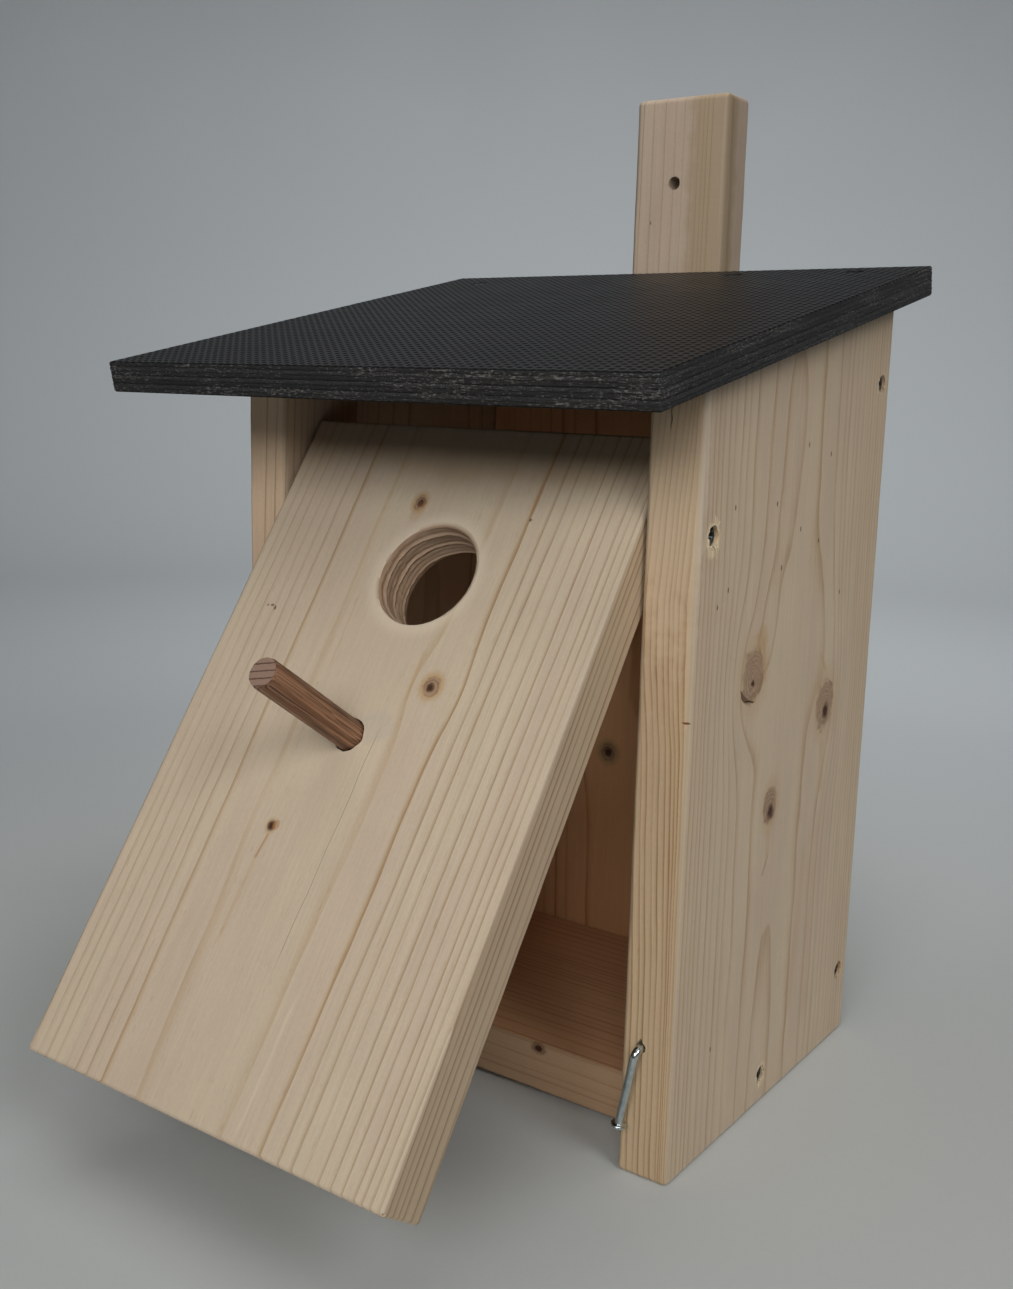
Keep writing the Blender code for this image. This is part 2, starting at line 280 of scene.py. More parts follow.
def add_operator(name, operation):
    """Gives Value an arithmetic operator, for when it stands on the left and on the right."""
    setattr(Value, f"__{name}__", lambda self, other: self.graph.math(operation, self, other))
    setattr(Value, f"__r{name}__", lambda self, other: self.graph.math(operation, other, self))


OPERATORS = {"add": "ADD", "sub": "SUBTRACT", "mul": "MULTIPLY", "truediv": "DIVIDE",
    "mod": "MODULO", "pow": "POWER"}
for operator_name, math_operation in OPERATORS.items():
    add_operator(operator_name, math_operation)


class Graph:
    """A material's nodes. Its calls take values and plain numbers alike and give back values."""

    def __init__(self, name, roughness=0.5, metallic=0):
        self.material = bpy.data.materials.new(name)
        self.material.use_nodes = True
        self.tree = self.material.node_tree
        self.shader = self.tree.nodes["Principled BSDF"]
        self.shader.inputs["Roughness"].default_value = roughness
        self.shader.inputs["Metallic"].default_value = metallic

    def feed(self, socket, value):
        if isinstance(value, Value):
            self.tree.links.new(value.socket, socket)
        elif value is not None:
            socket.default_value = value

    def node(self, kind, inputs, **settings):
        """A new node with its settings made and its inputs fed, by place or by name."""
        node = self.tree.nodes.new(f"ShaderNode{kind}")
        for setting, choice in settings.items():
            setattr(node, setting, choice)
        named = inputs if isinstance(inputs, dict) else dict(enumerate(inputs))
        for key, value in named.items():
            self.feed(node.inputs[key], value)
        return node

    def out(self, node, output=0):
        return Value(self, node.outputs[output])

    def math(self, operation, a, b=None, c=None, clamp=False):
        return self.out(self.node("Math", (a, b, c), operation=operation, use_clamp=clamp))

    def vector(self, operation, a, b=None, c=None, scale=None):
        node = self.node("VectorMath", (a, b, c, scale), operation=operation)
        return self.out(node, "Value" if operation in ("LENGTH", "DOT_PRODUCT") else "Vector")

    def coordinates(self, output="Object"):
        return self.out(self.node("TexCoord", ()), output)

    def place_mm(self):
        """The point in the piece's own frame, in millimetres."""
        return self.vector("SCALE", self.coordinates(), scale=1000)

    def split(self, vector):
        node = self.node("SeparateXYZ", (vector,))
        return [self.out(node, axis) for axis in range(3)]

    def noise(self, place, size, detail=2, rough=0.5, offset=0):
        """Smooth noise from 0 to 1 with lumps of a size in millimetres, or three sizes along X, Y and Z."""
        sizes = size if isinstance(size, tuple) else (size, size, size)
        frequency = tuple(1 / value for value in sizes)
        shifted = self.vector("MULTIPLY_ADD", place, frequency, (offset, 1.7 * offset, 0.6 * offset))
        inputs = {"Vector": shifted, "Scale": 1, "Detail": detail, "Roughness": rough}
        return self.out(self.node("TexNoise", inputs), "Fac")

    def remap(self, value, low, high, to_low=0, to_high=1, smooth=True):
        kind = "SMOOTHSTEP" if smooth else "LINEAR"
        return self.out(self.node("MapRange", (value, low, high, to_low, to_high), interpolation_type=kind))

    def mix(self, share, a, b):
        return self.out(self.node("Mix", {0: share, 6: a, 7: b}, data_type="RGBA"), 2)

    def steps(self, value, stops):
        """The colour and the alpha of the last (position, colour) stop at or below a value from 0 to 1."""
        node = self.node("ValToRGB", (value,))
        node.color_ramp.interpolation = "CONSTANT"
        elements = node.color_ramp.elements
        elements[0].position = stops[0][0]
        elements[0].color = stops[0][1]
        elements[1].position = stops[-1][0]
        elements[1].color = stops[-1][1]
        for position, colour in stops[1:-1]:
            elements.new(position).color = colour
        return self.out(node, 0), self.out(node, 1)

    def curve(self, value, points):
        """A straight-line curve through (x, y) points, all from 0 to 1."""
        node = self.node("FloatCurve", {"Value": value})
        curve = node.mapping.curves[0]
        curve.points[0].location = points[0]
        curve.points[1].location = points[-1]
        for point in points[1:-1]:
            curve.points.new(*point)
        for point in curve.points:
            point.handle_type = "VECTOR"
        node.mapping.update()
        return self.out(node)

    def bump(self, height, distance, strength=1):
        """Height from 0 to 1 stands distance metres tall."""
        return self.out(self.node("Bump", {"Strength": strength, "Distance": distance, "Height": height}))

    def finish(self, colour, roughness=None, normal=None):
        self.feed(self.shader.inputs["Base Color"], colour)
        self.feed(self.shader.inputs["Roughness"], roughness)
        if normal is not None:
            self.feed(self.shader.inputs["Normal"], normal)
        return self.material


def rgb(red, green, blue):
    return (red, green, blue, 1)


# ---------------------------------------------------------------- spruce

EARLYWOOD = rgb(0.66, 0.515, 0.365)
EARLYWOOD_PINK = rgb(0.63, 0.475, 0.345)
LATEWOOD_TINT = rgb(0.52, 0.335, 0.175)
LATEWOOD_LINE = rgb(0.32, 0.175, 0.085)
END_GRAIN = rgb(0.70, 0.60, 0.47)
KNOT_WOOD = rgb(0.255, 0.140, 0.080)
KNOT_HEART = rgb(0.045, 0.017, 0.009)
KNOT_HALO = rgb(0.50, 0.315, 0.14)


def grown_rings(start, stop, spacing, seed):
    """Rings of (radius, gradient, line, warmth), at a spacing that varies from year to year."""
    years = random.Random(seed)
    rings = []
    radius = start
    while radius < stop and len(rings) < 29:
        rings.append((radius, years.uniform(0.25, 0.8), years.uniform(0.2, 0.85), years.uniform(0, 1)))
        radius += spacing * years.uniform(0.6, 1.45)
    return rings


class Knot(NamedTuple):
    """A branch through a board, at u across the face and v along the grain, in millimetres."""

    u: float
    v: float
    half_width: float
    half_length: float
    push: float = 0.8
    reach: tuple = (2.4, 3.6)
    dark: float = 0.5
    heart: tuple = (0, 0, 0.35)
    halo: float = 0.5


def bell(graph, u, v, centre, spread):
    """1 at a centre on the face, falling away over the spread."""
    du = (u - centre[0]) / spread[0]
    dv = (v - centre[1]) / spread[1]
    square = du * du + dv * dv
    return graph.math("EXPONENT", square * -1)


def pushed_aside(graph, u, v, knots):
    """u with the grain parted round each knot, so that the fibres go round it."""
    result = u
    for knot in knots:
        spread = (knot.half_width * knot.reach[0], knot.half_length * knot.reach[1])
        near = bell(graph, u, v, (knot.u, knot.v), spread)
        offset = (u - knot.u) * (near * knot.push)
        result = result - offset
    return result


def knot_colours(graph, colour, u, v, place, knot):
    """Paints one knot: a halo in the wood round it, a dark rim, rings and a heart."""
    ragged = graph.noise(place, max(knot.half_width * 0.45, 0.8), 3, 0.6, knot.u)
    wobble = (ragged - 0.5) * 0.55
    du = (u - knot.u) / knot.half_width
    dv = (v - knot.v) / knot.half_length
    plain = (du * du + dv * dv) ** 0.5
    distance = plain + wobble

    halo = graph.remap(distance, 1, 2, knot.halo, 0)
    colour = graph.mix(halo, colour, KNOT_HALO)

    centred = distance + dv * 0.3
    rings = graph.math("SINE", centred * max(13, 4.4 * knot.half_width))
    pale = graph.mix(0.62, EARLYWOOD_PINK, KNOT_WOOD)
    ringed = graph.mix(graph.remap(rings, -0.6, 0.9, 0.05, 0.9), KNOT_WOOD, pale)
    inside = graph.remap(distance, 0.80, 1.06, knot.dark, 0)
    colour = graph.mix(inside, colour, ringed)

    rim = graph.remap(distance, 0.78, 0.98) * graph.remap(distance, 1.02, 1.2, 1, 0)
    patches = graph.noise(place, knot.half_width * 0.9, 1, 0.5, 3 + knot.v)
    patchy = graph.remap(patches, 0.42, 0.62, 0.1, 0.75)
    colour = graph.mix(rim * patchy, colour, KNOT_WOOD)

    heart_u, heart_v, heart_size = knot.heart
    hu = du - heart_u
    hv = dv - heart_v
    far = (hu * hu + hv * hv) ** 0.5
    far = far + wobble
    return graph.mix(graph.remap(far, heart_size * 0.35, heart_size * 1.7, 0.92, 0), colour, KNOT_HEART)


def blotch(graph, colour, place, centre, size, paint, strength):
    """A soft-edged mark of a colour round a point, with three half sizes."""
    offset = graph.vector("DIVIDE", graph.vector("SUBTRACT", place, centre), size)
    ragged = graph.noise(place, max(min(size) * 0.8, 0.4), 2, 0.5, centre[2])
    far = graph.vector("LENGTH", offset) + (ragged * 0.7 - 0.35)
    return graph.mix(graph.remap(far, 0.7, 1.15, strength, 0), colour, paint)


def stroke(graph, colour, u, v, place, start, end, half_width, paint, strength):
    """A thin line along the face from one (u, v) point to another, fading at its ends."""
    du, dv = end[0] - start[0], end[1] - start[1]
    length = math.hypot(du, dv)
    along_u, along_v = du / length, dv / length
    from_u = u - start[0]
    from_v = v - start[1]
    along = from_u * along_u + from_v * along_v
    aside = from_u * along_v - from_v * along_u
    wander = graph.noise(place, length / 5 + 1, 2, 0.5, start[0] + 2 * end[1])
    sway = min(length / 18, 1.2)
    aside = aside + (wander * sway + -sway / 2)
    across = graph.remap(abs(aside), half_width * 0.3, half_width, 1, 0)
    middle = abs(along / length - 0.5)
    share = across * graph.remap(middle, 0.36, 0.5, strength, 0)
    return graph.mix(share, colour, paint)


BORE_WOOD = rgb(0.43, 0.28, 0.18)
# How much darker the arrises are painted: painted shade that tones down the highlight their rounding
# catches.
ARRIS_SHADE = 0.24


def spruce(name, rings, pith, lean=(0, 0), across="x", knots=(), bulges=(), wander=None, marks=(),
        seed=0, drift=1, bore=None, tone=(1, 1, 1), edge_tone=(1, 1, 1), strokes=(),
        faint=(), waver=1, line_depth=0.66, edge_lines=0.6, outer_tone=None):
    """Spruce with its pith line through pith at z = 0, leaning by lean per millimetre.

    rings are (radius, gradient, line, warmth); across is the axis of the face the knots are on;
    bulges are (u, v, half width, half length, millimetres) swellings of the rings; wander is
    (z, shift) points of a wave in the grain along the front edge; marks are (centre, half sizes,
    colour, strength); outer_tone is the tone of the face that looks outwards, along y.
    """
    graph = Graph(name)
    place = graph.place_mm()
    x, y, z = graph.split(place)
    u = x if across == "x" else y
    parted = pushed_aside(graph, u, z, knots)
    ring_x = parted if across == "x" else x
    ring_y = parted if across == "y" else y

    if wander:
        low, high = wander[0][0], wander[-1][0]
        share = graph.remap(z, low, high, 0, 1, smooth=False)
        points = [((at - low) / (high - low), 0.5 + offset / 20) for at, offset in wander]
        wave = (graph.curve(share, points) - 0.5) * 20
        near_edge = graph.remap(y, 0, 26, 1, 0) * graph.remap(x, -4.5, 0, 1, 0.1)
        ring_x = ring_x - wave * near_edge

    pith_x = z * lean[0] + pith[0]
    pith_y = z * lean[1] + pith[1]
    dx = ring_x - pith_x
    dy = ring_y - pith_y
    radius = (dx * dx + dy * dy) ** 0.5
    slow = graph.noise(place, (55, 55, 150), 1, 0.5, seed)
    quick = graph.noise(place, (9, 9, 38), 2, 0.5, seed + 4)
    radius = radius + (slow * (2.4 * drift) + -1.2 * drift)
    radius = radius + (quick * (0.7 * waver) + -0.35 * waver)
    for bulge_u, bulge_v, half_width, half_length, amount in bulges:
        near = bell(graph, u, z, (bulge_u, bulge_v), (half_width, half_length))
        radius = radius - near * amount

    count = len(rings) + 1
    first = 2 * rings[0][0] - rings[1][0]
    last = 2 * rings[-1][0] - rings[-2][0]
    share = graph.remap(radius, first, last, 0, 1, smooth=False)
    points = [(0, 0)]
    for index, ring in enumerate(rings):
        points.append(((ring[0] - first) / (last - first), (index + 1) / count))
    points += [(1, 1)]
    year = graph.curve(share, points)
    widths = [rings[0][0] - first] + [after[0] - before[0] for before, after in zip(rings, rings[1:])]
    looks = [(*ring[1:], width / 10) for ring, width in zip(rings, widths)]
    stops = [(0, looks[0])]
    stops += [((index + 0.1) / count, look) for index, look in enumerate(looks) if index]
    stops += [((count - 0.9) / count, looks[-1])]
    strengths, width = graph.steps(year, stops)
    tint_strength, line_strength, warmth = graph.split(strengths)
    season = graph.math("FRACT", year * float(count))

    fibre = graph.noise(place, (0.42, 0.42, 26), 3, 0.62, seed + 9)
    strand = graph.noise(place, (1.6, 1.6, 60), 2, 0.5, seed + 13)
    to_edge = (1 - season) * (width * 10)
    jitter = fibre * 0.16 - 0.08
    late = to_edge + jitter
    ended = graph.remap(to_edge, 0, 0.07)
    tint = graph.remap(late, 1.25, 0.1) ** 1.6 * ended
    line = graph.remap(late, 0.62, 0.1) * ended
    fading = graph.remap(graph.noise(place, (6, 6, 70), 2, 0.5, seed + 17), 0.25, 0.62, 0.45, 1)
    tint = tint * tint_strength * fading
    line = line * line_strength * (fading * line_depth)
    normal_x, normal_y, normal_z = graph.split(graph.coordinates("Normal"))
    quarter_sawn = graph.remap(abs(normal_y if across == "y" else normal_x), 0.5, 0.9)
    tint = graph.math("MULTIPLY", tint, quarter_sawn * edge_lines + 1, clamp=True)
    line = graph.math("MULTIPLY", line, quarter_sawn * edge_lines + 1, clamp=True)
    for centre, spread, amount in faint:
        near = bell(graph, u, z, centre, spread) * -amount + 1
        line = line * near
        tint = tint * (near * 0.5 + 0.5)

    pinkish = graph.noise(place, (22, 22, 90), 2, 0.5, seed + 21)
    colour = graph.mix(graph.remap(pinkish, 0.3, 0.7), EARLYWOOD, EARLYWOOD_PINK)
    warm_tint = graph.mix(warmth, rgb(0.47, 0.325, 0.20), LATEWOOD_TINT)
    warm_line = graph.mix(warmth, rgb(0.27, 0.17, 0.10), LATEWOOD_LINE)
    colour = graph.mix(tint, colour, warm_tint)
    colour = graph.mix(line, colour, warm_line)

    streak = fibre * 0.2 + 0.9
    streak = streak * (strand * 0.14 + 0.93)
    mottle = graph.noise(place, (7, 7, 16), 3, 0.55, seed + 25)
    streak = streak * (mottle * 0.1 + 0.95)
    grit = graph.noise(place, (0.5, 0.5, 1.1), 2, 0.7, seed + 27)
    streak = streak * (grit * 0.16 + 0.92)
    canals = graph.noise(place, (0.30, 0.30, 5), 0, 0.5, seed + 29)
    canal = graph.remap(canals, 0.74, 0.8) * graph.remap(season, 0.3, 0.7, 0.15, 0.5)
    colour = graph.mix(canal * 0.6, colour, LATEWOOD_LINE)
    # Where outer_tone is given, tone holds near the inner face only; the back board's warm inner tone is
    # painted warm shade, the dim bounce light inside the box.
    if outer_tone:
        tone = graph.mix(graph.remap(y, 4, 15), rgb(*tone), rgb(*outer_tone))
    colour = graph.vector("MULTIPLY", graph.vector("SCALE", colour, scale=streak), tone)

    for knot in knots:
        colour = knot_colours(graph, colour, u, z, place, knot)
    for centre, size, paint, strength in marks:
        colour = blotch(graph, colour, place, centre, size, paint, strength)
    for start, end, half_width, paint, strength in strokes:
        colour = stroke(graph, colour, u, z, place, start, end, half_width, paint, strength)

    colour = graph.vector("MULTIPLY", colour, graph.mix(quarter_sawn, rgb(1, 1, 1), rgb(*edge_tone)))
    # Painted shade: the arrises painted darker, most at 45 degrees, to tone down the highlight on the
    # rounded edges.
    arris = abs(normal_x) * abs(normal_y)
    colour = graph.vector("SCALE", colour, scale=arris * (-2 * ARRIS_SHADE) + 1)
    end_grain = graph.remap(abs(normal_z), 0.55, 0.9)
    pits = graph.noise(place, (0.55, 0.55, 2), 3, 0.7, seed + 33)
    end_shade = pits * 0.5 + 0.62
    cut_across = graph.vector("SCALE", graph.mix(0.35, colour, END_GRAIN), scale=end_shade)
    colour = graph.mix(end_grain * 0.85, colour, cut_across)

    if bore:
        bore_x, bore_z, bore_radius = bore
        from_axis = ((x - bore_x) ** 2 + (z - bore_z) ** 2) ** 0.5
        facing_out = graph.remap(abs(normal_y), 0.75, 0.97)
        sanded = graph.remap(from_axis, bore_radius + 1, bore_radius + 6.5, 0.55, 0) * facing_out
        colour = graph.mix(sanded, colour, rgb(0.78, 0.66, 0.50))
        inside = 1 - facing_out
        inside = inside * graph.remap(from_axis, bore_radius + 1.6, bore_radius + 2.2, 1, 0)
        groove_shade = graph.remap(from_axis, bore_radius - 0.15, bore_radius + 0.55, 0, 0.75)
        colour = graph.mix(inside * 0.7, colour, BORE_WOOD)
        colour = graph.mix(inside * groove_shade, colour, rgb(0.34, 0.205, 0.115))

    ripple = graph.math("SINE", z * 2.6 + slow * 6)
    relief = fibre * 0.5 + strand * 0.25
    relief = relief + tint * 0.35
    relief = relief + ripple * 0.035
    relief = relief + pits * end_grain * 1.6
    normal = graph.bump(relief, 0.00012, 0.7)
    sheen = fibre * 0.16 + 0.5
    roughness = sheen - tint * 0.1
    roughness = roughness + end_grain * 0.18
    light = graph.vector("DOT_PRODUCT", colour, (0.3, 0.6, 0.1))
    graph.feed(graph.shader.inputs["Specular IOR Level"], graph.remap(light, 0.04, 0.30, 0.12, 0.45))
    return graph.finish(colour, roughness, normal)


# ---------------------------------------------------------------- other materials


def film_material(pitch):
    """Black phenolic film with a wire mesh's imprint: dull dark dents, glossy crests scuffed grey."""
    graph = Graph("phenolic_mesh_film")
    place = graph.place_mm()
    x, y, _ = graph.split(place)
    wires_x = graph.math("COSINE", x * (2 * math.pi / pitch))
    wires_y = graph.math("COSINE", y * (2 * math.pi / pitch))
    crossing = (wires_x + wires_y) * 0.5
    dent = graph.remap(crossing, 0.20, 0.85)
    crest = graph.remap(crossing, -0.25, -0.95)
    cloud = graph.noise(place, (34, 48, 30), 3, 0.55, 2)
    dust = graph.noise(place, (0.5, 0.5, 0.5), 2, 0.7, 5)
    worn = graph.remap(graph.noise(place, (14, 40, 20), 3, 0.6, 11), 0.50, 0.72)
    grey = graph.mix(graph.remap(cloud, 0.3, 0.7), rgb(0.004, 0.0043, 0.0048), rgb(0.009, 0.0093, 0.0095))
    rubbed = crest * graph.remap(dust, 0.42, 0.66, 0.25, 1)
    grey = graph.mix(rubbed * (worn * 0.5 + 0.5), grey, rgb(0.026, 0.027, 0.027))
    colour = graph.mix(dent * 0.85, grey, rgb(0.003, 0.003, 0.0035))
    roughness = cloud * 0.16 + 0.26 + dent * 0.35
    height = crossing * -1 + dust * 0.25
    graph.shader.inputs["Specular IOR Level"].default_value = 0.32
    return graph.finish(colour, roughness, graph.bump(height, 0.00022, 0.9))


def plywood_edge_material(thickness):
    """Sawn plies under black edge paint: rough and open in every second ply, with small pale chips."""
    graph = Graph("painted_plywood_edge", roughness=0.55)
    place = graph.place_mm()
    _, _, z = graph.split(place)
    plies = 7
    level = z * (plies / thickness)
    layer = graph.math("FRACT", level)
    glue = graph.remap(abs(layer - 0.5), 0.34, 0.48)
    odd = graph.math("FLOOR", level) % 2
    fibres = graph.noise(place, (3, 3, 0.22), 3, 0.7, 3)
    pores = graph.noise(place, (0.45, 0.45, 0.35), 3, 0.75, 8)
    base = graph.mix(graph.remap(fibres, 0.30, 0.72), rgb(0.0022, 0.0022, 0.0026), rgb(0.016, 0.016, 0.016))
    rough_ply = odd * graph.remap(pores, 0.5, 0.62, 0, 0.8)
    base = graph.mix(rough_ply, base, rgb(0.070, 0.068, 0.066))
    base = graph.mix(glue * 0.8, base, rgb(0.002, 0.002, 0.0025))
    chips = graph.noise(place, (1.5, 1.5, 0.5), 3, 0.75, 21)
    region = graph.noise(place, (30, 30, 3.2), 1, 0.5, 31)
    chipped = graph.remap(region * 0.24 + chips, 0.69, 0.77)
    base = graph.mix(chipped * 0.62, base, rgb(0.26, 0.245, 0.22))
    height = fibres * 0.7 + pores * 0.7
    height = height - glue * 0.5
    roughness = pores * 0.35 + 0.3
    return graph.finish(base, roughness, graph.bump(height, 0.0004, 1))


END_RINGS = (-0.22, 0.975)


def hardwood_material():
    """A reddish hardwood dowel: dark streaks and pores along its grain, rings and rays across its end."""
    graph = Graph("reddish_hardwood")
    place = graph.place_mm()
    x, y, _ = graph.split(place)
    fibre = graph.noise(place, (0.50, 0.50, 60), 3, 0.6, 3)
    pores = graph.noise(place, (0.32, 0.32, 14), 1, 0.5, 9)
    band = graph.noise(place, (1.5, 1.5, 140), 1, 0.5, 15)
    colour = graph.mix(graph.remap(fibre, 0.30, 0.70), rgb(0.165, 0.070, 0.032), rgb(0.40, 0.215, 0.120))
    colour = graph.mix(graph.remap(band, 0.46, 0.60, 0, 0.6), colour, rgb(0.115, 0.045, 0.020))
    colour = graph.mix(graph.remap(pores, 0.56, 0.66, 0, 0.85), colour, rgb(0.040, 0.015, 0.008))
    _, _, normal_z = graph.split(graph.coordinates("Normal"))
    end = graph.remap(abs(normal_z), 0.6, 0.9)
    across = x * END_RINGS[0] + y * END_RINGS[1]
    along = x * END_RINGS[1] - y * END_RINGS[0]
    ragged = graph.noise(place, (0.6, 0.6, 4), 2, 0.6, 33)
    across = across + (ragged * 0.5 - 0.25)
    rings = graph.math("SINE", across * 2.7 + 0.5)
    lines = graph.remap(rings, 0.72, 0.98, 0, 0.85)
    rays = graph.math("SINE", along * 13)
    speckle = graph.noise(place, (0.32, 0.32, 2), 2, 0.6, 27)
    face = graph.mix(speckle, rgb(0.25, 0.150, 0.100), rgb(0.40, 0.275, 0.205))
    face = graph.mix(graph.remap(rays, 0.3, 1, 0, 0.45), face, rgb(0.155, 0.080, 0.050))
    face = graph.mix(lines, face, rgb(0.060, 0.026, 0.016))
    colour = graph.mix(end, colour, face)
    height = fibre - graph.remap(pores, 0.55, 0.66)
    roughness = fibre * 0.2 + 0.45
    return graph.finish(colour, roughness, graph.bump(height, 0.00015, 0.8))


def zinc_material():
    """Zinc plating: bright, with drawing marks, a few dull spots and a bluish-green cast."""
    graph = Graph("zinc_plated_steel", metallic=1)
    place = graph.place_mm()
    cloud = graph.noise(place, (1.2, 1.2, 5), 3, 0.6, 2)
    spots = graph.noise(place, 0.35, 3, 0.7, 7)
    colour = graph.mix(graph.remap(cloud, 0.3, 0.7), rgb(0.40, 0.46, 0.47), rgb(0.66, 0.72, 0.72))
    colour = graph.mix(graph.remap(spots, 0.64, 0.72, 0, 0.5), colour, rgb(0.14, 0.15, 0.15))
    roughness = cloud * 0.14 + 0.1
    return graph.finish(colour, roughness, graph.bump(spots, 0.00003, 0.5))


def hole_shade_zinc_material():
    """Zinc painted near black, as painted shade of a screw sunk deep in its hole, with bluish grey patches
    from a noise.
    """
    graph = Graph("zinc_painted_hole_shade", metallic=1)
    place = graph.place_mm()
    cloud = graph.noise(place, 1.1, 3, 0.6, 12)
    colour = graph.mix(graph.remap(cloud, 0.40, 0.68), rgb(0.015, 0.017, 0.022), rgb(0.20, 0.25, 0.31))
    return graph.finish(colour, cloud * 0.3 + 0.28, graph.bump(cloud, 0.0001, 0.6))


def splinter_material():
    """Freshly broken spruce fibre."""
    graph = Graph("torn_spruce_fibre")
    place = graph.place_mm()
    fibre = graph.noise(place, (0.2, 0.2, 3), 3, 0.6, 4)
    colour = graph.mix(graph.remap(fibre, 0.3, 0.7), rgb(0.58, 0.44, 0.27), rgb(0.84, 0.73, 0.53))
    return graph.finish(colour, 0.75, graph.bump(fibre, 0.0001, 0.7))


# ---------------------------------------------------------------- screws

RECESS_SPAN = 3.4 * MM
RECESS_WIDTH = 0.95 * MM
THREAD_PITCH = 1.8 * MM
HOLE_GAP = 0.25 * MM
AXIS = 0.05 * MM  # the radius at which a turned cutter's profile starts and ends


def screw_place(node, outward):
    """A placement at the centre of a CAD screw's head, with Z outward, and the screw's length."""
    turn = facing(outward)
    low, high = local_box(node, turn)
    centre = Vector(((low.x + high.x) / 2, (low.y + high.y) / 2, high.z))
    return Matrix.Translation(turn @ centre) @ turn, high.z - low.z, (high.x - low.x) / 2


def screw_mesh(name, length, head):
    """A countersunk wood screw: dished rim, cross recess, smooth neck, thread and point."""
    shank = 0.56 * head
    root = 0.40 * head
    point = 4.5 * MM
    steps = 20
    profile = [(0.02 * MM, -0.05 * MM), (head * 0.72, -0.02 * MM), (head * 0.93, 0), (head, -0.12 * MM)]
    profile += [(head, -0.38 * MM), (shank, -0.38 * MM - (head - shank)), (shank, -length * 0.30)]
    rings = []
    for radius, z in profile:
        rings.append([at_angle(radius, 2 * math.pi * i / steps, z) for i in range(steps)])
    start = -length * 0.32
    rows = int((length + start) / THREAD_PITCH * 5)
    for row in range(rows + 1):
        z = start + (-length - start) * row / rows
        taper = min(1, (z + length) / point + 0.04)
        ring = []
        for i in range(steps):
            turn = z / THREAD_PITCH - i / steps
            crest = max(0, 1 - 3.2 * abs(turn - math.floor(turn) - 0.5))
            radius = (root + (shank * 1.02 - root) * crest) * taper
            ring.append(at_angle(radius, 2 * math.pi * i / steps, z))
        rings.append(ring)
    solid = loft(name, rings)
    arms = []
    for turn in (0, math.pi / 2):
        half_width = RECESS_WIDTH / 2
        half_span = RECESS_SPAN / 2
        corners = [(-1, -1), (1, -1), (1, 1), (-1, 1)]
        top = [(half_span * sx, half_width * sy, 0.5 * MM) for sx, sy in corners]
        bottom = [(0.45 * half_span * sx, 0.55 * half_width * sy, -1.6 * MM) for sx, sy in corners]
        arm = loft("recess", [bottom, top])
        arm.transform(Matrix.Rotation(turn, 4, "Z"))
        arms.append(arm)
    mesh = taken_out(solid, arms)
    shade(mesh, 35)
    return mesh


def screw_cutter(length, head, wobble=0.05, seed=0, mouth=1):
    """The space of a driven screw in the wood, with an uneven mouth above its head."""
    shank = 0.56 * head + HOLE_GAP
    wide = head + HOLE_GAP
    profile = [(AXIS, -length - HOLE_GAP), (shank, -length - HOLE_GAP),
        (shank, -0.6 * MM - (wide - shank))]
    profile += [(wide, -0.5 * MM), (wide, 0.2 * MM), (wide * mouth, 1 * MM),
        (wide * mouth * 1.08, 4 * MM)]
    profile += [(AXIS, 4 * MM)]
    return turned("screw_space", profile, 28, wobble, seed)


def splinters(name, place, radius, count, length, seed, outward_bend):
    """Torn fibres round a hole: tapered slivers that start in the rim and lie mostly along the grain."""
    picks = random.Random(seed)
    inverse = place.to_3x3().inverted()
    along_grain = (inverse @ Z_AXIS).normalized()
    across = Z_AXIS.cross(along_grain)
    verts = []
    faces = []
    for index in range(count):
        angle = 2 * math.pi * (index + picks.uniform(-0.3, 0.3)) / count
        rim = along_grain * math.cos(angle) + across * math.sin(angle)
        base = rim * radius * picks.uniform(0.80, 1.12) + Z_AXIS * picks.uniform(-0.5, 0.1) * MM
        way = 1 if math.cos(angle) > 0 else -1
        direction = along_grain * way * picks.uniform(0.5, 1)
        direction = (direction + across * picks.uniform(-0.45, 0.45)).normalized()
        reach = length * picks.uniform(0.45, 1)
        width = picks.uniform(0.35, 0.8) * MM
        thick = picks.uniform(0.12, 0.3) * MM
        lift = picks.uniform(0.15, 1) * outward_bend * MM
        side = Z_AXIS.cross(direction).normalized()
        first = len(verts)
        rows = 6
        for row in range(rows):
            t = row / (rows - 1)
            centre = base + direction * reach * t + Z_AXIS * lift * math.sin(math.pi * 0.8 * t)
            half = side * width / 2 * (1 - 0.92 * t)
            up = Z_AXIS * thick * (1 - 0.7 * t)
            verts += [centre - half, centre + half, centre + half * 0.6 + up, centre - half * 0.6 + up]
        for row in range(rows - 1):
            a = first + 4 * row
            for k in range(4):
                j = (k + 1) % 4
                faces.append((a + k, a + j, a + 4 + j, a + 4 + k))
        faces.append((first + 3, first + 2, first + 1, first))
        tip = first + 4 * (rows - 1)
        faces.append((tip, tip + 1, tip + 2, tip + 3))
    mesh = tidy_mesh(mesh_from(name, verts, faces))
    shade(mesh, 50)
    return add_piece(name, mesh, [SPLINTERS], place, "housing", "spruce")


# ---------------------------------------------------------------- the boards of the box

SIDE_EDGE = 1.8 * MM
PLAIN_EDGE = 0.7 * MM
BATTEN_EDGE = 2.2 * MM
DOOR_EDGE = 1.2 * MM


def screw_spaces(place, names, outward, mouth=1):
    """Cutters, in a board's frame, for the screws that run through it."""
    spaces = []
    for index, name in enumerate(names):
        at, length, head = screw_place(name, outward)
        spaces.append(moved(screw_cutter(length, head, 0.10, 3.1 * index + 1, mouth),
            place.inverted() @ at))
    return spaces


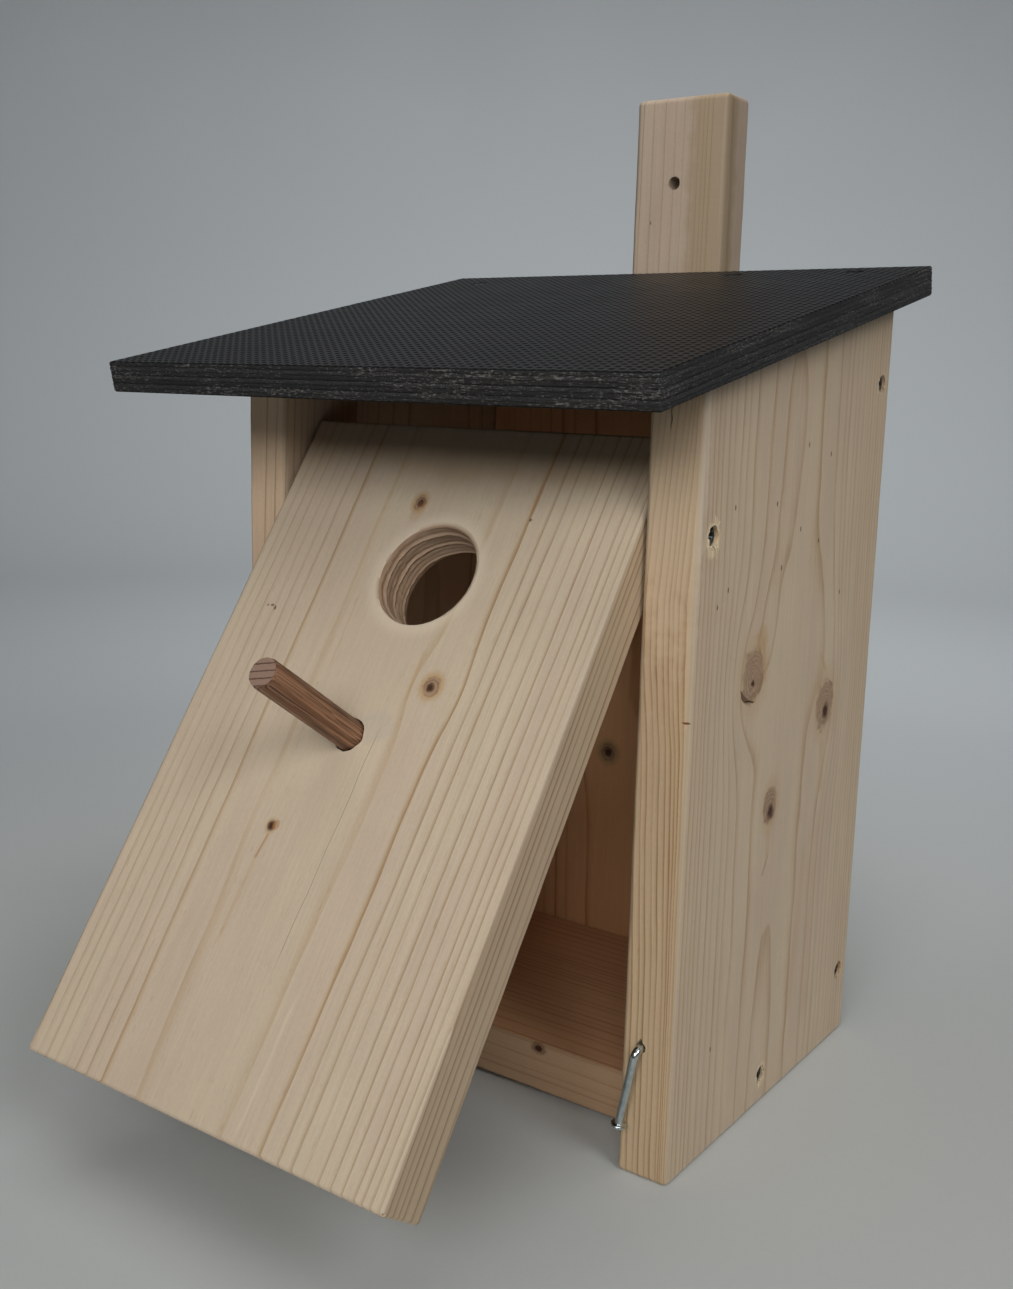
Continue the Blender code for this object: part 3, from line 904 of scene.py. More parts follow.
def side_board(side, material):
    """A side board, in a frame on its outer face at the bottom of the front edge."""
    sign = 1 if side == "right" else -1
    low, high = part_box(f"{side}_side_panel")
    outer = high.x if side == "right" else low.x
    place = Matrix.Translation((outer, FRONT, low.z))
    local_low, local_high = low - place.translation, high - place.translation
    rise = math.tan(SLOPE) * (high.y - low.y)
    mesh = board_mesh(f"{side}_board", local_low, local_high, SIDE_EDGE, rise, seed=sign * 2)
    outward = (sign, 0, 0)
    names = [f"pivot_screw_{side}", f"back_screw_{side}_upper", f"back_screw_{side}_lower",
        f"floor_screw_{side}"]
    cutters = screw_spaces(place, names, outward)
    cutters += screw_spaces(place, [f"roof_screw_{side}"], ROOF_NORMAL)
    if side == "right":
        cutters += right_board_wear(place)
    mesh = taken_out(mesh, cutters)
    shade(mesh)
    return flatten(add_piece(f"{side}_board", mesh, [material], place, "housing", "spruce",
        f"{side}_side_panel"))


def right_board_wear(place):
    """The nail's torn hole, and the cracks at a knot and at the top of the front edge."""
    face = Matrix(((0, 0, 1, 0), (1, 0, 0, 0), (0, 1, 0, 0), (0, 0, 0, 1)))
    front = Matrix(((1, 0, 0, 0), (0, 0, -1, 0), (0, 1, 0, 0), (0, 0, 0, 1)))
    crescent = [(33, 154), (34.2, 152), (36.2, 150.4), (38.6, 149.3), (41.2, 148.7), (43.9, 148.5)]
    crescent_widths = [0.5, 2, 2.5, 2.6, 1.9, 0.5]
    split = [(-10.7, 241), (-10.9, 239), (-10.5, 237.4), (-10.8, 235.6), (-10.6, 233.8)]
    split_widths = [0.9, 0.5, 0.8, 0.45, 0.1]
    pivot = Vector(JOINTS["latch_turn"]["pos_m"]) - place.translation
    shaft = facing((0, -1, 0), pivot)
    profile = [(AXIS, -28.5 * MM), (1.65 * MM, -28.5 * MM), (1.65 * MM, -2 * MM),
        (1.95 * MM, 2 * MM), (AXIS, 2 * MM)]
    nail_hole = turned("nail_hole", profile, 20, 0.12, 4)
    tear = [(pivot.x, pivot.z + 0.4 * MM), (pivot.x - 0.3 * MM, pivot.z + 1.8 * MM),
        (pivot.x, pivot.z + 3.1 * MM)]
    return [
        groove([(u * MM, v * MM) for u, v in crescent], [w * MM for w in crescent_widths], 2.5 * MM, face),
        groove([(u * MM, v * MM) for u, v in split], [w * MM for w in split_widths], 2 * MM, front),
        moved(nail_hole, shaft),
        groove(tear, [3 * MM, 2.2 * MM, 0.2 * MM], 2.4 * MM, front),
    ]


def plain_board(node, name, edge, material, place, cutters, rise=0, seed=0):
    low, high = local_box(node, place)
    mesh = board_mesh(name, low, high, edge, rise, seed)
    mesh = taken_out(mesh, cutters)
    shade(mesh)
    return flatten(add_piece(name, mesh, [material], place, "housing", "spruce", node))


def back_board(material):
    low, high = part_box("back_panel")
    place = Matrix.Translation(((low.x + high.x) / 2, low.y, low.z))
    cutters = []
    for side, sign in (("left", -1), ("right", 1)):
        cutters += screw_spaces(place, [f"back_screw_{side}_upper", f"back_screw_{side}_lower"],
            (sign, 0, 0))
    cutters += screw_spaces(place, ["roof_screw_middle"], ROOF_NORMAL)
    cutters += screw_spaces(place, ["batten_screw_upper", "batten_screw_lower"], Y_AXIS)
    rise = math.tan(SLOPE) * (high.y - low.y)
    return plain_board("back_panel", "back_board", PLAIN_EDGE, material, place, cutters, rise, 5)


def floor_board(material):
    """The floor, in a frame with Z across the box, along its grain."""
    low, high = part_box("floor_panel")
    turn = Matrix(((0, 0, 1, 0), (1, 0, 0, 0), (0, 1, 0, 0), (0, 0, 0, 1)))
    place = Matrix.Translation((0, low.y, high.z)) @ turn
    cutters = []
    for side, sign in (("left", -1), ("right", 1)):
        cutters += screw_spaces(place, [f"floor_screw_{side}"], (sign, 0, 0))
    return plain_board("floor_panel", "floor_board", PLAIN_EDGE, material, place, cutters, 0, 7)


def batten(material, hole_radius=2.5 * MM):
    low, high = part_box("mounting_batten")
    place = Matrix.Translation(((low.x + high.x) / 2, low.y, 0))
    cutters = screw_spaces(place, ["batten_screw_upper", "batten_screw_lower"], Y_AXIS)
    reach = high.y - low.y + 3 * MM
    profile = [(AXIS, reach), (hole_radius * 1.12, reach), (hole_radius, reach - 4 * MM),
               (hole_radius, -1 * MM), (hole_radius * 1.12, -3 * MM), (AXIS, -3 * MM)]
    hole = turned("hanging_hole", profile, 28, 0.10, 2)
    cutters.append(moved(hole, facing(Y_AXIS, HANGING_HOLE)))
    return plain_board("mounting_batten", "batten", BATTEN_EDGE, material, place, cutters, 0, 9)


HANGING_HOLE = (-2 * MM, 0, 324 * MM)


# ---------------------------------------------------------------- the tilting front

ENTRANCE = (2.5, -27.5)
ENTRANCE_RADIUS = 17.5


def entrance_bore(half):
    """The bore that a hole saw left: a softened rim at each face and uneven rings between them."""
    rim = 1.5 * MM
    radius = ENTRANCE_RADIUS * MM
    steps = 112
    rows = 46
    rings = []
    reach = half + 4 * MM
    depths = [-reach, -half - 0.01 * MM]
    depths += [-half + 2 * half * row / rows for row in range(rows + 1)]
    depths += [half + 0.01 * MM, reach]
    for depth in depths:
        from_face = half - abs(depth)
        ring = []
        for step in range(steps):
            angle = 2 * math.pi * step / steps
            swirl = depth / MM + 0.5 * math.cos(angle + 0.6)
            swirl += 0.9 * noise.noise((1.6 * math.cos(angle), 1.6 * math.sin(angle), 7))
            saw = 0.10 * math.sin(swirl * 0.8 + 1) + 0.07 * math.sin(swirl * 3.1 + 1)
            step_marks = -0.42 * max(0, math.sin(swirl * 1.12 + 0.4)) ** 8
            fuzz = 0.10 * noise.noise((9 * math.cos(angle), 9 * math.sin(angle), depth / (0.7 * MM)))
            end_grain = abs(math.cos(angle)) ** 1.5
            torn = noise.noise((15 * math.cos(angle), 15 * math.sin(angle), depth / (1.5 * MM)))
            rough = 0.42 * end_grain * torn
            flare = 0
            if from_face < rim:
                lift = max(0, min(1, 1 - from_face / rim))
                flare = rim * (1 - math.sqrt(max(0, 1 - lift * lift)))
            ridges = (saw + step_marks + fuzz + rough) * MM * min(1, max(0, from_face / rim))
            reach_out = radius + flare + ridges
            ring.append(at_angle(reach_out, angle, depth))
        rings.append(ring)
    return loft("entrance_bore", rings)


def front_board(material):
    low, high = local_box("front_door", HINGE)
    mesh = board_mesh("front_board", low, high, DOOR_EDGE, seed=11, unevenness=0.3)
    centre = (low + high) / 2
    bore = moved(entrance_bore((high.y - low.y) / 2),
                 facing(Y_AXIS, (ENTRANCE[0] * MM, centre.y, ENTRANCE[1] * MM)))
    perch_low, perch_high = local_box("perch_dowel", HINGE)
    perch_centre = (perch_low + perch_high) / 2
    perch_radius = (perch_high.x - perch_low.x) / 2
    reach = high.y - low.y + 2 * MM
    profile = [(AXIS, reach), (perch_radius + 0.35 * MM, reach),
        (perch_radius + 0.35 * MM, 2.4 * MM), (perch_radius + 0.55 * MM, 0),
        (perch_radius + 0.8 * MM, -1.5 * MM), (AXIS, -1.5 * MM)]
    perch_hole = moved(turned("perch_hole", profile, 40, 0.10, 6),
                       facing(Y_AXIS, (perch_centre.x, low.y, perch_centre.z)))
    chip = turned("chip", [(AXIS, -1.5 * MM), (1.3 * MM, -0.6 * MM), (1.5 * MM, 0.6 * MM),
        (AXIS, 1.6 * MM)], 14, 0.3, 3)
    corner = Vector((high.x + 0.4 * MM, low.y - 0.3 * MM, low.z + 0.2 * MM))
    cutters = [bore, perch_hole, moved(chip, Matrix.Translation(corner))]
    place_inverse = HINGE.inverted()
    for side, sign in (("left", -1), ("right", 1)):
        at, length, head = screw_place(f"pivot_screw_{side}", (sign, 0, 0))
        space = screw_cutter(length, head, 0.02, 1)
        cutters.append(moved(space, place_inverse @ at))
    mesh = taken_out(mesh, cutters)
    shade(mesh)
    return flatten(add_piece("front_board", mesh, [material], HINGE, "front", "spruce", "front_door"))


def perch(material):
    """The dowel, along Z of its frame: crisp sawn ends, faint flats from turning, pores in its side."""
    low, high = local_box("perch_dowel", HINGE)
    centre = (low + high) / 2
    radius = (high.x - low.x) / 2
    length = high.y - low.y
    place = HINGE @ Matrix.Translation((centre.x, high.y, centre.z)) @ facing((0, -1, 0))
    steps = 72
    rings = []
    rows = 40
    for row in range(rows + 1):
        z = length * row / rows
        chamfer = 0.35 * MM * max(0, 1 - min(row, rows - row))
        ring = []
        for step in range(steps):
            angle = 2 * math.pi * step / steps
            pore = noise.noise((5 * math.cos(angle), 5 * math.sin(angle), z / (9 * MM)))
            cut = 0.16 * MM * max(0, pore - 0.25)
            flat = 0.03 * MM * math.cos(5 * angle + 1)
            reach = radius - 0.03 * MM - cut + flat - chamfer
            ring.append(at_angle(reach, angle, z))
        rings.append(ring)
    mesh = loft("perch", rings)
    shade(mesh, 40)
    return add_piece("perch", mesh, [material], place, "front", "hardwood", "perch_dowel")


# ---------------------------------------------------------------- the roof

MESH_PITCH = 3.15
FILM = 0.35 * MM


def roof_frame():
    """The roof's frame, at the middle of its lower front edge with Y up the slope, and its size."""
    turn = Matrix.Rotation(SLOPE, 4, "X")
    low, high = local_box("roof_panel", turn)
    origin = Vector(((low.x + high.x) / 2, low.y, low.z))
    return Matrix.Translation(turn @ origin) @ turn, high - low


def mesh_imprint(x, y):
    """Depth in millimetres that a woven wire mesh left in the film: dents at crossings, faint channels."""
    column, row = round(x / MESH_PITCH), round(y / MESH_PITCH)
    dx, dy = x - column * MESH_PITCH, y - row * MESH_PITCH
    if (column + row) % 2:
        dx, dy = dy, dx
    press = 0.20 + 0.07 * noise.noise((column * 0.9, row * 0.9, 4))
    dent = press * max(0, 1 - (dx / 0.7) ** 2 - (dy / 1.25) ** 2)
    channel = 0.07 * max(0, 1 - (dx / 0.8) ** 2)
    return max(dent, channel)


def film_sheet(name, place, size, bottom, relief, material):
    """A film over the roof, from bottom up by FILM; a relief, if given, presses its upper face."""
    step = MESH_PITCH * MM / 4 if relief else size.x / 12
    inset = 0.45 * MM
    half_x = size.x / 2 - inset
    columns = round(size.x / step)
    rows = round(size.y / step)
    verts = []
    for row in range(rows + 1):
        for column in range(columns + 1):
            x = (column - columns / 2) * step
            x = max(-half_x, min(half_x, x)) if 0 < column < columns else math.copysign(half_x, x)
            y = inset + min(row * step, size.y - 2 * inset) if row < rows else size.y - inset
            border = column in (0, columns) or row in (0, rows)
            depth = relief(x / MM, y / MM) * MM if relief and not border else 0
            verts.append((x, y, bottom + FILM - depth - (0.12 * MM if border else 0)))
    faces = []
    wide = columns + 1
    for row in range(rows):
        for column in range(columns):
            a = row * wide + column
            faces.append((a, a + 1, a + wide + 1, a + wide))
    rim = list(range(columns))
    rim += [r * wide + columns for r in range(rows)]
    rim += [rows * wide + c for c in range(columns, 0, -1)]
    rim += [r * wide for r in range(rows, 0, -1)]
    first = len(verts)
    for index in rim:
        x, y, _ = verts[index]
        verts.append((x, y, bottom))
    for k in range(len(rim)):
        j = (k + 1) % len(rim)
        faces.append((rim[j], rim[k], first + k, first + j))
    faces.append(tuple(first + k for k in reversed(range(len(rim)))))
    mesh = tidy_mesh(mesh_from(name, verts, faces))
    shade(mesh, 60)
    return add_piece(name, mesh, [material], place, "housing", "film_faced_plywood")


def plywood_core(place, size, material, cutters):
    """The veneers between the films, their sawn edges uneven from ply to ply."""
    bottom, top = FILM, size.z - FILM
    step = 0.85 * MM
    corner = 0.5 * MM
    outline = []
    half_x, half_y = size.x / 2, size.y / 2
    for index, (sx, sy) in enumerate([(1, -1), (1, 1), (-1, 1), (-1, -1)]):
        along = 2 * (half_y if index % 2 == 0 else half_x) - 2 * corner
        count = int(along / step)
        start = math.radians(-90 + 90 * index)
        centre = Vector((sx * (half_x - corner), sy * (half_y - corner)))
        for turn in (0, 45):
            angle = start + math.radians(turn)
            way = Vector((math.cos(angle), math.sin(angle)))
            outline.append((centre + way * corner, way))
        way = Vector((math.cos(start + math.pi / 2), math.sin(start + math.pi / 2)))
        forward = Vector((-way.y, way.x))
        for k in range(count):
            outline.append((centre + way * corner + forward * along * k / count, way))
    plies = 7
    rows = 28
    rings = []
    for row in range(rows + 1):
        z = bottom + (top - bottom) * row / rows
        layer = (z - bottom) / (top - bottom) * plies
        ply = min(int(layer), plies - 1)
        inner = abs(layer - ply - 0.5)
        ring = []
        for index, (point, way) in enumerate(outline):
            s = index * 0.85
            rough = noise.noise((s / 3, ply * 5.1, z / (0.5 * MM)))
            slow = noise.noise((s / 14, ply * 3.7, 2))
            across = ply % 2 == 0
            recess = (0.10 if across else 0.03) + 0.08 * max(0, slow)
            recess += (0.10 if across else 0.05) * max(0, rough)
            recess += 0.12 * max(0, inner - 0.36) / 0.14
            missing = noise.noise((s / 2.2, ply * 9.3, 11))
            recess += 0.55 * max(0, missing - 0.42)
            spot = point - way * (recess * MM)
            ring.append((spot.x, spot.y + half_y, z))
        rings.append(ring)
    mesh = taken_out(loft("roof_plywood", rings), cutters)
    shade(mesh, 50)
    return add_piece("roof_plywood", mesh, [material], place, "housing", "film_faced_plywood", "roof_panel")


def build_roof():
    place, size = roof_frame()
    film = film_material(MESH_PITCH)
    edge = plywood_edge_material(size.z / MM)
    names = ["roof_screw_left", "roof_screw_middle", "roof_screw_right"]
    core_cutters = screw_spaces(place, names, ROOF_NORMAL)
    plywood_core(place, size, edge, core_cutters)
    top = film_sheet("roof_mesh_film", place, size, size.z - FILM, mesh_imprint, film)
    under = film_sheet("roof_under_film", place, size, 0, None, film)
    for sheet in (top, under):
        cutters = screw_spaces(place, names, ROOF_NORMAL)
        sheet.data = taken_out(sheet.data, cutters)
        shade(sheet.data, 60)


# ---------------------------------------------------------------- the bent nail


def bent_nail(material):
    """A nail bent over at a right angle, in the frame of its hole, with drawing marks and a struck head."""
    pivot = Vector(JOINTS["latch_turn"]["pos_m"])
    points = [vertex.co - pivot for vertex in NODES["latch_nail"].data.vertices]
    lowest = min(point.z for point in points)
    head_points = [point for point in points if point.z < lowest + 1 * MM]
    head_x = sum(point.x for point in head_points) / len(head_points)
    head_z = sum(point.z for point in head_points) / len(head_points)
    lean = math.atan2(-head_x, -head_z)
    place = Matrix.Translation(pivot) @ Matrix.Rotation(lean, 4, "Y")
    low, high = local_box("latch_nail", place)
    wire = max(point.z for point in points)
    bend = -low.y - (high.x - low.x) / 2
    drop = -low.z
    buried = high.y
    centre_line = [(buried, 0, 0.02), (buried - 3.5 * MM, 0, 1), (8 * MM, 0, 1),
        (1 * MM, 0, 1)]
    for step in range(13):
        angle = math.radians(90 * step / 12)
        centre_line.append((-bend * math.sin(angle), -bend * (1 - math.cos(angle)), 1))
    neck = [(-bend, -drop * share, 1) for share in (0.3, 0.5, 0.7, 0.85, 0.92)]
    head = (high.x - low.x) / 2
    head_profile = [(-drop + 1.25 * MM, 1), (-drop + 1.02 * MM, 1.15),
        (-drop + 0.95 * MM, 0.93 * head / wire), (-drop + 0.72 * MM, head / wire),
        (-drop + 0.35 * MM, head / wire), (-drop + 0.04 * MM, 0.9 * head / wire),
        (-drop, 0.6 * head / wire), (-drop, 0.02)]
    centre_line += neck + [(-bend, z, share) for z, share in head_profile]
    steps = 28
    rings = []
    for index, (y, z, share) in enumerate(centre_line):
        before = Vector(centre_line[max(index - 1, 0)][:2])
        after = Vector(centre_line[min(index + 1, len(centre_line) - 1)][:2])
        along = (after - before).normalized()
        if index >= 4 + 13:
            along = Vector((0, -1))
        normal = Vector((0, -along.y, along.x))
        ring = []
        for step in range(steps):
            angle = 2 * math.pi * step / steps
            dent = 1 + 0.012 * noise.noise((3 * math.cos(angle), 3 * math.sin(angle), index * 0.6))
            reach = wire * share * dent
            offset = X_AXIS * math.cos(angle) * reach + normal * math.sin(angle) * reach
            ring.append(Vector((0, y, z)) + offset)
        rings.append(ring)
    mesh = loft("bent_nail", rings)
    shade(mesh, 45)
    return add_piece("bent_nail", mesh, [material], place, "latch", "zinc_steel", "latch_nail")


# ---------------------------------------------------------------- grain of each board

DARK_SPECK = rgb(0.10, 0.045, 0.03)
RESIN = rgb(0.42, 0.20, 0.07)
GREY_PATCH = rgb(0.45, 0.42, 0.36)
TORN_WOOD = rgb(0.78, 0.64, 0.42)


def front_grain():
    rings = [(56, 0.5, 0.5, 0.4), (60, 0.4, 0.5, 0.6), (64, 0.6, 0.6, 0.4), (67.5, 0.4, 0.4, 0.5),
        (71, 0.6, 0.5, 0.5), (75, 0.4, 0.4, 0.6), (78.6, 0.5, 0.4, 0.5), (83, 0.50, 0.08, 1),
        (87.5, 0.85, 0.85, 1), (90.2, 0.45, 0.70, 0.6), (92.4, 0.50, 0.75, 0.7),
        (94.7, 0.30, 0.40, 0.7), (97.4, 0.45, 0.70, 0.5), (99.9, 0.50, 0.75, 0.6),
        (102.2, 0.45, 0.65, 0.5), (104.8, 0.50, 0.60, 0.5), (106.5, 0.5, 0.6, 0.6),
        (108.3, 0.5, 0.55, 0.5), (110.2, 0.5, 0.5, 0.5)]
    knots = [
        Knot(-11.75, -2.3, 2.2, 2.7, 0.5, (3, 5), 0.95, (0.1, -0.1, 0.50), 0.75),
        Knot(21.8, -64, 2.9, 3.2, 0.8, (3.2, 4.2), 0.85, (-0.1, -0.15, 0.42), 0.8),
        Knot(-15.3, -117.2, 1.5, 1.7, 0.8, (4, 7), 0.95, (0, 0, 0.8), 0.6),
    ]
    marks = [
        ((-54.6, -9, -46), (0.9, 2, 0.5), DARK_SPECK, 0.7),
        ((-53, -9, -46.8), (0.5, 2, 0.9), DARK_SPECK, 0.8),
        ((-56.6, -9, -46.2), (0.5, 2, 0.5), DARK_SPECK, 0.6),
        # A greyish darker patch right of the perch's base.
        ((7.5, -9, -80), (7.5, 3, 5.4), GREY_PATCH, 0.30),
        ((-13.6, -9, -116.6), (1.3, 2, 1.8), RESIN, 0.55),
        ((-11.4, -9, -6), (2.6, 2, 4), RESIN, 0.22),
        ((33, -9, -5), (0.6, 2, 0.6), DARK_SPECK, 0.7),
        # Painted shadow: the top 22 mm of the door darkened to a warm brown, the roof's shadow painted into
        # the wood.
        ((0, -9, 30), (160, 24, 22), rgb(0.42, 0.24, 0.10), 0.32),
        ((32.6, -9, 2.5), (1, 2, 6.5), RESIN, 0.30),
    ]
    strokes = [
        ((9.6, -75), (7.6, -160), 0.24, DARK_SPECK, 0.40),
        ((-14.9, -119), (-16.4, -128.5), 0.75, RESIN, 0.60),
        ((-16.2, -126), (-16.6, -156), 1.3, LATEWOOD_TINT, 0.30),
        ((14, -52), (14.6, -71), 0.9, LATEWOOD_TINT, 0.40),
        ((-20.2, -35), (-19.6, -66), 0.5, LATEWOOD_TINT, 0.35),
        ((19.4, -160), (18, -203), 0.8, rgb(0.72, 0.60, 0.44), 0.5),
    ]
    faint = [((-75, -90), (55, 150), 0.62), ((20, -230), (90, 60), 0.35)]
    return spruce("spruce_front", rings, (-3, 70.56), (0.0066, -0.0072), "x", knots, marks=marks,
        seed=2, bore=(ENTRANCE[0], ENTRANCE[1], ENTRANCE_RADIUS), tone=(0.94, 0.985, 1),
        edge_tone=(0.80, 0.75, 0.70), drift=0.2, strokes=strokes, faint=faint)


def right_grain():
    """The right side board's wood, in the frame of side_board: outer face, front edge and bottom at 0."""
    rings = [(84, 0.5, 0.5, 0.5), (87.8, 0.6, 0.5, 0.6), (92.8, 0.5, 0.5, 0.5), (95.6, 0.5, 0.4, 0.6),
        (98.8, 0.42, 0.60, 0.9), (101.7, 0.55, 0.55, 1), (104.9, 0.40, 0.60, 0.5),
        (106.8, 0.30, 0.40, 0.4), (108.3, 0.40, 0.65, 0.5), (110.1, 0.30, 0.35, 0.4),
        (111.6, 0.45, 0.70, 0.5), (113.4, 0.35, 0.50, 0.6), (114.8, 0.45, 0.70, 0.7),
        (116, 0.50, 0.50, 0.9), (117.4, 0.60, 0.75, 1), (118.7, 0.5, 0.50, 1),
        (120.1, 0.6, 0.8, 1), (121.3, 0.5, 0.6, 1), (122.9, 0.6, 0.7, 1), (124.5, 0.5, 0.6, 0.8),
        (126.2, 0.5, 0.6, 0.8), (128, 0.5, 0.5, 0.6), (130, 0.5, 0.5, 0.5)]
    knots = [
        Knot(41.4, 157.5, 7.2, 8.8, 0.80, (2.1, 2.9), 0.72, (0.05, -0.30, 0.12), 0.30),
        Knot(101.4, 137.5, 7.4, 8.8, 0.80, (2.1, 2.9), 0.75, (0.15, -0.28, 0.30), 0.30),
        Knot(60.6, 110.2, 4.8, 6.2, 0.80, (2.4, 3.2), 0.80, (0.05, -0.32, 0.40), 0.35),
    ]
    bulges = [
        (61.5, 240, 12, 30, 2.2), (57, 205, 10, 20, 1.6), (50, 180, 9, 18, 2.4),
        (41, 155, 10, 20, 4.4), (98, 150, 14, 40, 4), (61.5, 8, 13, 76, 2.6),
        (60.7, 110, 8, 18, 1), (50.5, 167, 6.5, 13, 1.7),
    ]
    wander = [(0, 5.2), (60, 3.9), (110, 2), (140, 0.8), (165, -1.6), (185, -2.2),
        (210, -0.8), (245, 2.2)]
    specks = [(22.4, 211.6), (51.8, 211), (71, 201.8), (92.3, 225.5), (86.3, 196.8), (20.5, 187),
        (13.9, 182.5), (108, 177), (73.8, 229), (57.8, 190.2), (25.8, 36.7)]
    # Painted highlight: a pale strip along the rounded arris between the outer face and the front edge.
    marks = [((-1, 0, 110), (1.5, 1.4, 170), rgb(0.72, 0.61, 0.46), 0.34)]
    # Painted light: the top of the front edge lightened, lifting the roof's shadow there.
    marks += [((-9, 0, 248), (16, 6, 86), rgb(0.76, 0.64, 0.50), 0.46)]
    marks += [((0, u, v), (2, 0.50, 0.95), DARK_SPECK, 0.75) for u, v in specks]
    marks += [((-1, 0, 149.6), (1.6, 1.2, 0.36), rgb(0.20, 0.08, 0.03), 0.95)]
    marks += [((0, 9, 203.2), (3, 4.6, 6), TORN_WOOD, 0.7)]
    marks += [((0, 66.6, 10.8), (2.5, 3.6, 5), TORN_WOOD, 0.5)]
    marks += [((0, 133.5, 26.5), (2.5, 3.2, 4), RESIN, 0.35)]
    marks += [((0, 46.5, 168.5), (2.5, 4.5, 5), KNOT_HALO, 0.40)]
    strokes = [
        ((47.5, 170), (50.5, 153), 1.5, LATEWOOD_TINT, 0.60),
        ((95, 157), (101, 149.5), 1.4, LATEWOOD_TINT, 0.60),
        ((101.5, 126), (103, 104), 3, KNOT_HALO, 0.30),
        ((60.5, 103), (60.8, 92), 2.4, KNOT_HALO, 0.28),
        ((61.5, 93.5), (57.2, 86), 1.1, LATEWOOD_LINE, 0.40),
        ((93, 92), (87, 22), 3.2, LATEWOOD_TINT, 0.25),
        ((103, 100), (100, 15), 3, LATEWOOD_TINT, 0.20),
    ]
    faint = [((125, 120), (22, 300), 0.45)]
    return spruce("spruce_right", rings, (-100, 67.2), (0, -0.006), "y", knots, bulges, wander,
        marks, 5, tone=(0.93, 0.955, 0.95), edge_tone=(0.92, 0.845, 0.74), drift=0.3, strokes=strokes,
        faint=faint, waver=1.5, line_depth=0.50, edge_lines=1.1)


def left_grain():
    rings = grown_rings(70, 116, 2.6, 12)
    knots = [
        Knot(52, 92, 5, 6, 0.8, (2.2, 3), 0.55, (0.1, -0.2, 0.3), 0.35),
        Knot(96, 188, 6.5, 7.5, 0.8, (2.2, 3), 0.50, (0, 0.2, 0.3), 0.3),
    ]
    # edge_tone lightens the front and back edges: painted light on the front edge, which lies in the roof's
    # shadow.
    return spruce("spruce_left", rings, (88, 80), (0.01, 0.03), "y", knots, seed=31,
        tone=(0.96, 0.95, 0.93), edge_tone=(1.12, 1.06, 1.02))


def back_grain():
    rings = grown_rings(60, 104, 2.8, 21)
    knots = [Knot(-10.6, 97.4, 3.5, 3.7, 0.8, (3, 4), 0.9, (0, 0, 0.5), 0.9)]
    # The inner face's warm, red tone is painted warm shade, the dim bounce light inside the box; outer_tone
    # keeps the outer face plain spruce.
    return spruce("spruce_back", rings, (8, 88), (-0.02, 0), "x", knots, seed=43,
        tone=(1.14, 0.82, 0.58), outer_tone=(0.95, 0.92, 0.87))


def floor_grain():
    rings = grown_rings(74, 170, 3.2, 33)
    marks = [((0, -2.3, 26.1), (2.5, 2.4, 3.4), KNOT_WOOD, 0.9),
        ((0, -2.3, 26.1), (2, 1.2, 1.6), KNOT_HEART, 0.9)]
    # tone and edge_tone paint the floor redder than the other boards and its front edge darker: painted
    # warm shade, the dim bounce light inside the box.
    return spruce("spruce_floor", rings, (-50, 60), (0, 0), "y", marks=marks, seed=57,
        tone=(0.77, 0.64, 0.53), edge_tone=(1.33, 1.18, 1.10), drift=0.4, line_depth=0.36)


def batten_grain():
    rings = [(30, 0.5, 0.5, 0.5), (34, 0.5, 0.5, 0.5), (38, 0.4, 0.4, 0.5), (42.5, 0.4, 0.35, 0.5),
        (46.5, 0.35, 0.4, 0.3), (50, 0.3, 0.4, 0.3), (53.5, 0.35, 0.3, 0.4), (56, 0.8, 0.5, 0.7),
        (57.8, 0.8, 0.5, 0.9), (59.4, 0.8, 0.6, 0.9), (61.2, 0.8, 0.6, 1), (66.5, 0.5, 0.4, 0.8),
        (70, 0.5, 0.4, 0.8), (74, 0.5, 0.4, 0.8)]
    marks = [((-11.8, 0, 309.5), (0.4, 1.5, 0.8), DARK_SPECK, 0.6)]
    marks += [((16, 0, 300), (12.5, 9, 220), rgb(0.34, 0.25, 0.145), 0.60)]
    return spruce("spruce_batten", rings, (-46, 20), (0.005, 0), "x", seed=71, marks=marks,
        tone=(0.74, 0.75, 0.78), edge_tone=(0.76, 0.76, 0.76), drift=0.3)


# ---------------------------------------------------------------- build


FRONT_GRAIN = front_grain()
ZINC = zinc_material()
HOLE_SHADE_ZINC = hole_shade_zinc_material()
HARDWOOD = hardwood_material()
SPLINTERS = splinter_material()

side_board("right", right_grain())
side_board("left", left_grain())
back_board(back_grain())
floor_board(floor_grain())
batten(batten_grain())
front_board(FRONT_GRAIN)
perch(HARDWOOD)
build_roof()
bent_nail(ZINC)


def build_screws():
    outward = {"pivot": None, "back": None, "floor": None, "roof": ROOF_NORMAL, "batten": Y_AXIS}
    meshes = {}
    for node in sorted(name for name in NODES if "_screw_" in name):
        kind = node.split("_")[0]
        direction = outward[kind]
        if direction is None:
            direction = -X_AXIS if "left" in node else X_AXIS
        place, length, head = screw_place(node, direction)
        # Screws sunk in the boards get the near-black zinc: painted shade of their deep holes.
        finish = ZINC if kind in ("roof", "batten") else HOLE_SHADE_ZINC
        key = (round(length / MM), finish.name)
        if key not in meshes:
            meshes[key] = screw_mesh(f"screw_{key[0]}_{finish.name}", length, head)
        turn = Matrix.Rotation(random.Random(node).uniform(0, math.pi / 2), 4, "Z")
        add_piece(f"{node}_detailed", meshes[key], [finish], place @ turn, "housing", "zinc_steel", node)


build_screws()
